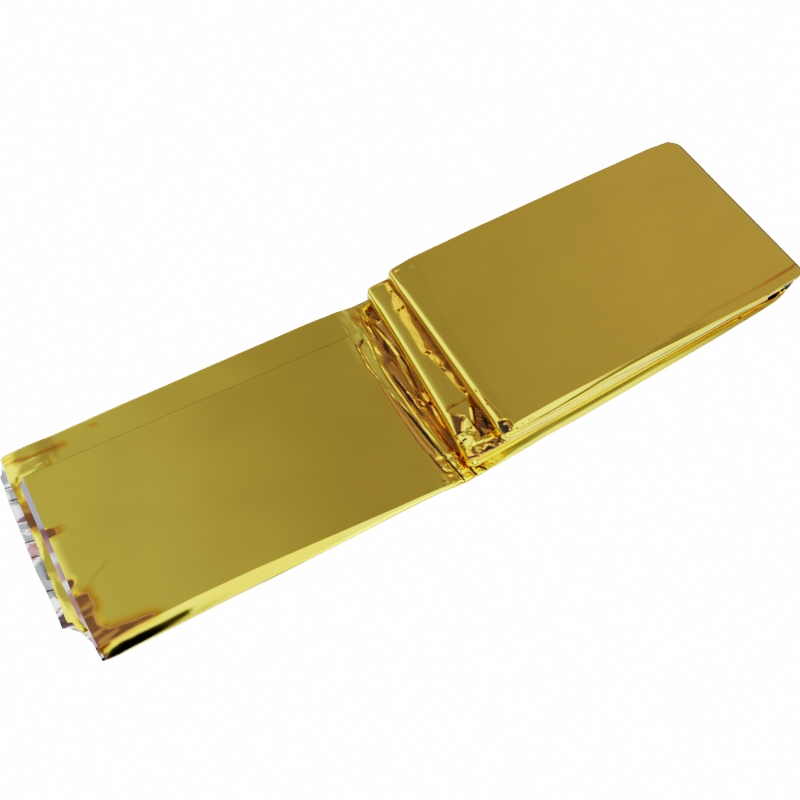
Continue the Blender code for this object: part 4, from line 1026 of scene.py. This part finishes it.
def film_material(name, stops, rough_low, rough_high, bump_height):
    """Metallised film: a mirror whose colour is deepened by painted shade and painted reflections from its
    tone attribute, with faint cloudy tone and fine stretch marks in its surface."""
    material = bpy.data.materials.new(name)
    material.use_nodes = True
    tree = material.node_tree
    shader = tree.nodes["Principled BSDF"]
    shader.inputs["Specular IOR Level"].default_value = 0.15
    place = node(tree, "ShaderNodeTexCoord")

    def noise(scale, detail, stretch):
        mapping = node(tree, "ShaderNodeMapping")
        mapping.inputs["Scale"].default_value = stretch
        tree.links.new(place.outputs["Object"], mapping.inputs["Vector"])
        made = node(tree, "ShaderNodeTexNoise")
        made.inputs["Scale"].default_value = scale
        made.inputs["Detail"].default_value = detail
        tree.links.new(mapping.outputs["Vector"], made.inputs["Vector"])
        return made.outputs["Fac"]

    painted_tone_attribute = node(tree, "ShaderNodeAttribute", attribute_type="GEOMETRY", attribute_name="painted_shade_and_reflection")
    ramp = node(tree, "ShaderNodeValToRGB")
    tree.links.new(painted_tone_attribute.outputs["Fac"], ramp.inputs["Fac"])
    colours = ramp.color_ramp.elements
    while len(colours) < len(stops):
        colours.new(0.5)
    for element, (at, colour) in zip(colours, stops):
        element.position = at
    for element, (at, colour) in zip(colours, stops):
        element.color = (*colour, 1.0)

    cloud = noise(34.0, 3.0, (1.0, 1.6, 1.0))
    spread = node(tree, "ShaderNodeMapRange")
    for socket, number in (("From Min", 0.3), ("From Max", 0.7), ("To Min", 0.955), ("To Max", 1.03)):
        spread.inputs[socket].default_value = number
    tree.links.new(cloud, spread.inputs["Value"])
    # where the tone paints deep brown shade the film is made less of a mirror and rougher, so the painted brown shows
    # the same from any side
    matte_for_painted_brown = node(tree, "ShaderNodeMapRange")
    for socket, number in (("From Min", 0.64), ("From Max", 0.78), ("To Min", 0.0), ("To Max", 1.0)):
        matte_for_painted_brown.inputs[socket].default_value = number
    tree.links.new(painted_tone_attribute.outputs["Fac"], matte_for_painted_brown.inputs["Value"])
    metal = node(tree, "ShaderNodeMath", operation="MULTIPLY_ADD")
    tree.links.new(matte_for_painted_brown.outputs["Result"], metal.inputs[0])
    metal.inputs[1].default_value, metal.inputs[2].default_value = -0.75, 1.0
    tree.links.new(metal.outputs["Value"], shader.inputs["Metallic"])
    # below 0 the same attribute only paints shade, darkening the film's colour
    shade = node(tree, "ShaderNodeMapRange")
    for socket, number in (("From Min", -1.18), ("From Max", 0.0), ("To Min", 0.009), ("To Max", 1.0)):
        shade.inputs[socket].default_value = number
    tree.links.new(painted_tone_attribute.outputs["Fac"], shade.inputs["Value"])
    both = node(tree, "ShaderNodeMath", operation="MULTIPLY")
    tree.links.new(spread.outputs["Result"], both.inputs[0])
    tree.links.new(shade.outputs["Result"], both.inputs[1])
    tone = node(tree, "ShaderNodeVectorMath", operation="SCALE")
    tree.links.new(ramp.outputs["Color"], tone.inputs[0])
    tree.links.new(both.outputs["Value"], tone.inputs["Scale"])
    tree.links.new(tone.outputs["Vector"], shader.inputs["Base Color"])

    haze = node(tree, "ShaderNodeMapRange")
    haze.inputs["From Min"].default_value = 0.35
    haze.inputs["From Max"].default_value = 0.7
    haze.inputs["To Min"].default_value = rough_low
    haze.inputs["To Max"].default_value = rough_high
    tree.links.new(noise(210.0, 4.0, (1.0, 0.5, 1.0)), haze.inputs["Value"])
    rough = node(tree, "ShaderNodeMath", operation="MULTIPLY_ADD")
    tree.links.new(matte_for_painted_brown.outputs["Result"], rough.inputs[0])
    rough.inputs[1].default_value = 0.28
    tree.links.new(haze.outputs["Result"], rough.inputs[2])
    tree.links.new(rough.outputs["Value"], shader.inputs["Roughness"])

    relief = node(tree, "ShaderNodeBump")
    relief.inputs["Strength"].default_value = 1.0
    relief.inputs["Distance"].default_value = bump_height
    tree.links.new(noise(85.0, 2.0, (0.5, 1.0, 1.0)), relief.inputs["Height"])
    tree.links.new(relief.outputs["Normal"], shader.inputs["Normal"])
    return material


# tone 0 is each film's own colour; the higher stops are painted reflections and painted shade, darkening to near black
# at 1
GOLD_WITH_PAINTED_SHADE = ((0.0, (0.85, 0.60, 0.075)), (0.35, (0.84, 0.46, 0.035)), (0.56, (0.80, 0.33, 0.030)), (0.70, (0.50, 0.20, 0.040)), (0.80, (0.135, 0.048, 0.013)),
        (0.90, (0.070, 0.030, 0.014)), (1.0, (0.018, 0.012, 0.008)))
SILVER_WITH_PAINTED_SHADE = ((0.0, (0.80, 0.75, 0.71)), (0.40, (0.60, 0.42, 0.42)), (0.66, (0.34, 0.15, 0.15)), (0.85, (0.13, 0.065, 0.075)), (1.0, (0.02, 0.02, 0.02)))


# ---------------------------------------------------------------- light
def world_light():
    """Soft light from all round, with the pale grey ceiling that a flat top mirrors, and the
    photographer's dark shape over the near side."""
    world = bpy.data.worlds.new("studio")
    bpy.context.scene.world = world
    world.use_nodes = True
    tree = world.node_tree
    tree.nodes.clear()
    place = node(tree, "ShaderNodeTexCoord")
    split = node(tree, "ShaderNodeSeparateXYZ")
    tree.links.new(place.outputs["Generated"], split.inputs["Vector"])

    def math_node(operation, a, b=None):
        made = node(tree, "ShaderNodeMath", operation=operation)
        for socket, value in zip(made.inputs, (a, b)):
            if value is None:
                continue
            if isinstance(value, (int, float)):
                socket.default_value = value
            else:
                tree.links.new(value, socket)
        return made.outputs[0]

    def step(value, low, high):
        made = node(tree, "ShaderNodeMapRange", interpolation_type="SMOOTHSTEP")
        made.inputs["From Min"].default_value = low
        made.inputs["From Max"].default_value = high
        tree.links.new(value, made.inputs["Value"])
        return made.outputs["Result"]

    def oval(cx, cy, rx, ry, soft):
        """1 inside an oval of directions, seen from above, and 0 outside."""
        u = math_node("DIVIDE", math_node("SUBTRACT", split.outputs["X"], cx), rx)
        v = math_node("DIVIDE", math_node("SUBTRACT", split.outputs["Y"], cy), ry)
        r = math_node("SQRT", math_node("ADD", math_node("MULTIPLY", u, u), math_node("MULTIPLY", v, v)))
        inside = math_node("SUBTRACT", 1.0, step(r, 1.0 - soft, 1.0 + soft))
        return math_node("MULTIPLY", inside, step(split.outputs["Z"], 0.0, 0.1))

    def mixed(a, b, factor):
        made = node(tree, "ShaderNodeMix", data_type="RGBA")
        for socket, value in ((made.inputs["A"], a), (made.inputs["B"], b)):
            if isinstance(value, tuple):
                socket.default_value = (*value, 1.0)
            else:
                tree.links.new(value, socket)
        if isinstance(factor, float):
            made.inputs["Factor"].default_value = factor
        else:
            tree.links.new(factor, made.inputs["Factor"])
        return made.outputs["Result"]

    x, y, z = split.outputs["X"], split.outputs["Y"], split.outputs["Z"]
    bright = mixed((1.75, 1.95, 2.1), (2.0, 2.35, 2.5), step(z, 0.1, 0.9))
    # the ceiling: lighter at the left, darkest at the middle, warmer at the right
    grey = mixed((0.50, 0.53, 0.68), (0.318, 0.292, 0.38), step(x, -0.07, 0.27))
    grey = mixed(grey, (0.46, 0.385, 0.52), step(x, 0.28, 0.66))
    ceiling = oval(0.34, 0.40, 0.62, 0.46, 0.22)
    wall = math_node("MULTIPLY", step(x, 0.50, 0.66), step(z, 0.15, 0.35))
    wall = math_node("MAXIMUM", wall, math_node("MULTIPLY", step(x, 0.74, 0.84), step(z, 0.02, 0.10)))
    patch = math_node("MAXIMUM", ceiling, wall)
    colour = mixed(bright, grey, patch)
    # a dimmer wall low on the left
    colour = mixed(colour, (0.45, 0.38, 0.32), math_node("MULTIPLY", math_node("SUBTRACT", 1.0, step(x, -0.75, -0.45)), math_node("SUBTRACT", 1.0, step(z, 0.30, 0.50))))
    # the photographer and the camera
    colour = mixed(colour, (0.22, 0.12, 0.07), oval(-0.30, -0.10, 0.12, 0.34, 0.35))
    colour = mixed(colour, (0.012, 0.012, 0.010), oval(-0.17, -0.45, 0.185, 0.13, 0.2))
    # low windows in front, and a dim wall low behind
    low = math_node("SUBTRACT", 1.0, step(z, 0.45, 0.70))
    colour = mixed(colour, (4.6, 5.8, 4.0), math_node("MULTIPLY", low, math_node("SUBTRACT", 1.0, step(y, -0.85, -0.55))))
    colour = mixed(colour, (0.35, 0.28, 0.25), math_node("MULTIPLY", low, step(y, 0.78, 0.92)))
    # the room is dark beyond the edge of the table, and the table itself is white
    colour = mixed((0.10, 0.08, 0.06), colour, step(z, 0.02, 0.16))
    table_top = mixed((1.7, 1.8, 1.8), (0.16, 0.12, 0.08), step(z, -0.42, -0.16))
    colour = mixed(table_top, colour, step(z, -0.04, 0.04))
    background = node(tree, "ShaderNodeBackground")
    tree.links.new(colour, background.inputs["Color"])
    output = node(tree, "ShaderNodeOutputWorld")
    tree.links.new(background.outputs["Background"], output.inputs["Surface"])


def floor():
    mesh = bpy.data.meshes.new("floor")
    side = 4.0
    mesh.from_pydata([(-side, -side, 0), (side, -side, 0), (side, side, 0), (-side, side, 0)], [], [(0, 1, 2, 3)])
    plane = bpy.data.objects.new("floor", mesh)
    bpy.context.scene.collection.objects.link(plane)
    material = bpy.data.materials.new("pale_floor")
    material.use_nodes = True
    shader = material.node_tree.nodes["Principled BSDF"]
    shader.inputs["Base Color"].default_value = (0.92, 0.92, 0.92, 1.0)
    shader.inputs["Roughness"].default_value = 0.9
    shader.inputs["Specular IOR Level"].default_value = 0.1
    shader.inputs["Emission Color"].default_value = (1.0, 1.0, 1.0, 1.0)
    shader.inputs["Emission Strength"].default_value = 12.0
    mesh.materials.append(material)
    # the film mirrors the table that the world holds, so the floor's own light stays off it
    plane.visible_glossy = False
    plane.visible_diffuse = False


def camera():
    from mathutils import Matrix

    data = bpy.data.cameras.new("camera")
    data.sensor_width = 36.0
    data.lens = 40.5
    data.clip_start = 0.01
    made = bpy.data.objects.new("camera", data)
    right = (0.860349, -0.502580, 0.084927)
    up = (0.406685, 0.777302, 0.480009)
    back = (-0.307257, -0.378437, 0.873143)
    at = ((-115.904 - CENTRE[0]) * 0.001, (-124.948 - CENTRE[1]) * 0.001, 281.414 * 0.001)
    made.matrix_world = Matrix(
        [(right[k], up[k], back[k], at[k]) for k in range(3)] + [(0.0, 0.0, 0.0, 1.0)]
    )
    bpy.context.scene.collection.objects.link(made)
    bpy.context.scene.camera = made


# ---------------------------------------------------------------- the scene
film = bpy.data.objects.new("foil_film", film_mesh())
bpy.context.scene.collection.objects.link(film)
film.data.materials.append(film_material("gold_face", GOLD_WITH_PAINTED_SHADE, 0.05, 0.08, 0.000012))
film.data.materials.append(film_material("silver_face", SILVER_WITH_PAINTED_SHADE, 0.06, 0.10, 0.000015))
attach(film, "root")
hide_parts("foil_blanket")

world_light()
floor()
camera()
bpy.context.scene.view_settings.view_transform = "Filmic"
bpy.context.scene.view_settings.look = "Medium High Contrast"
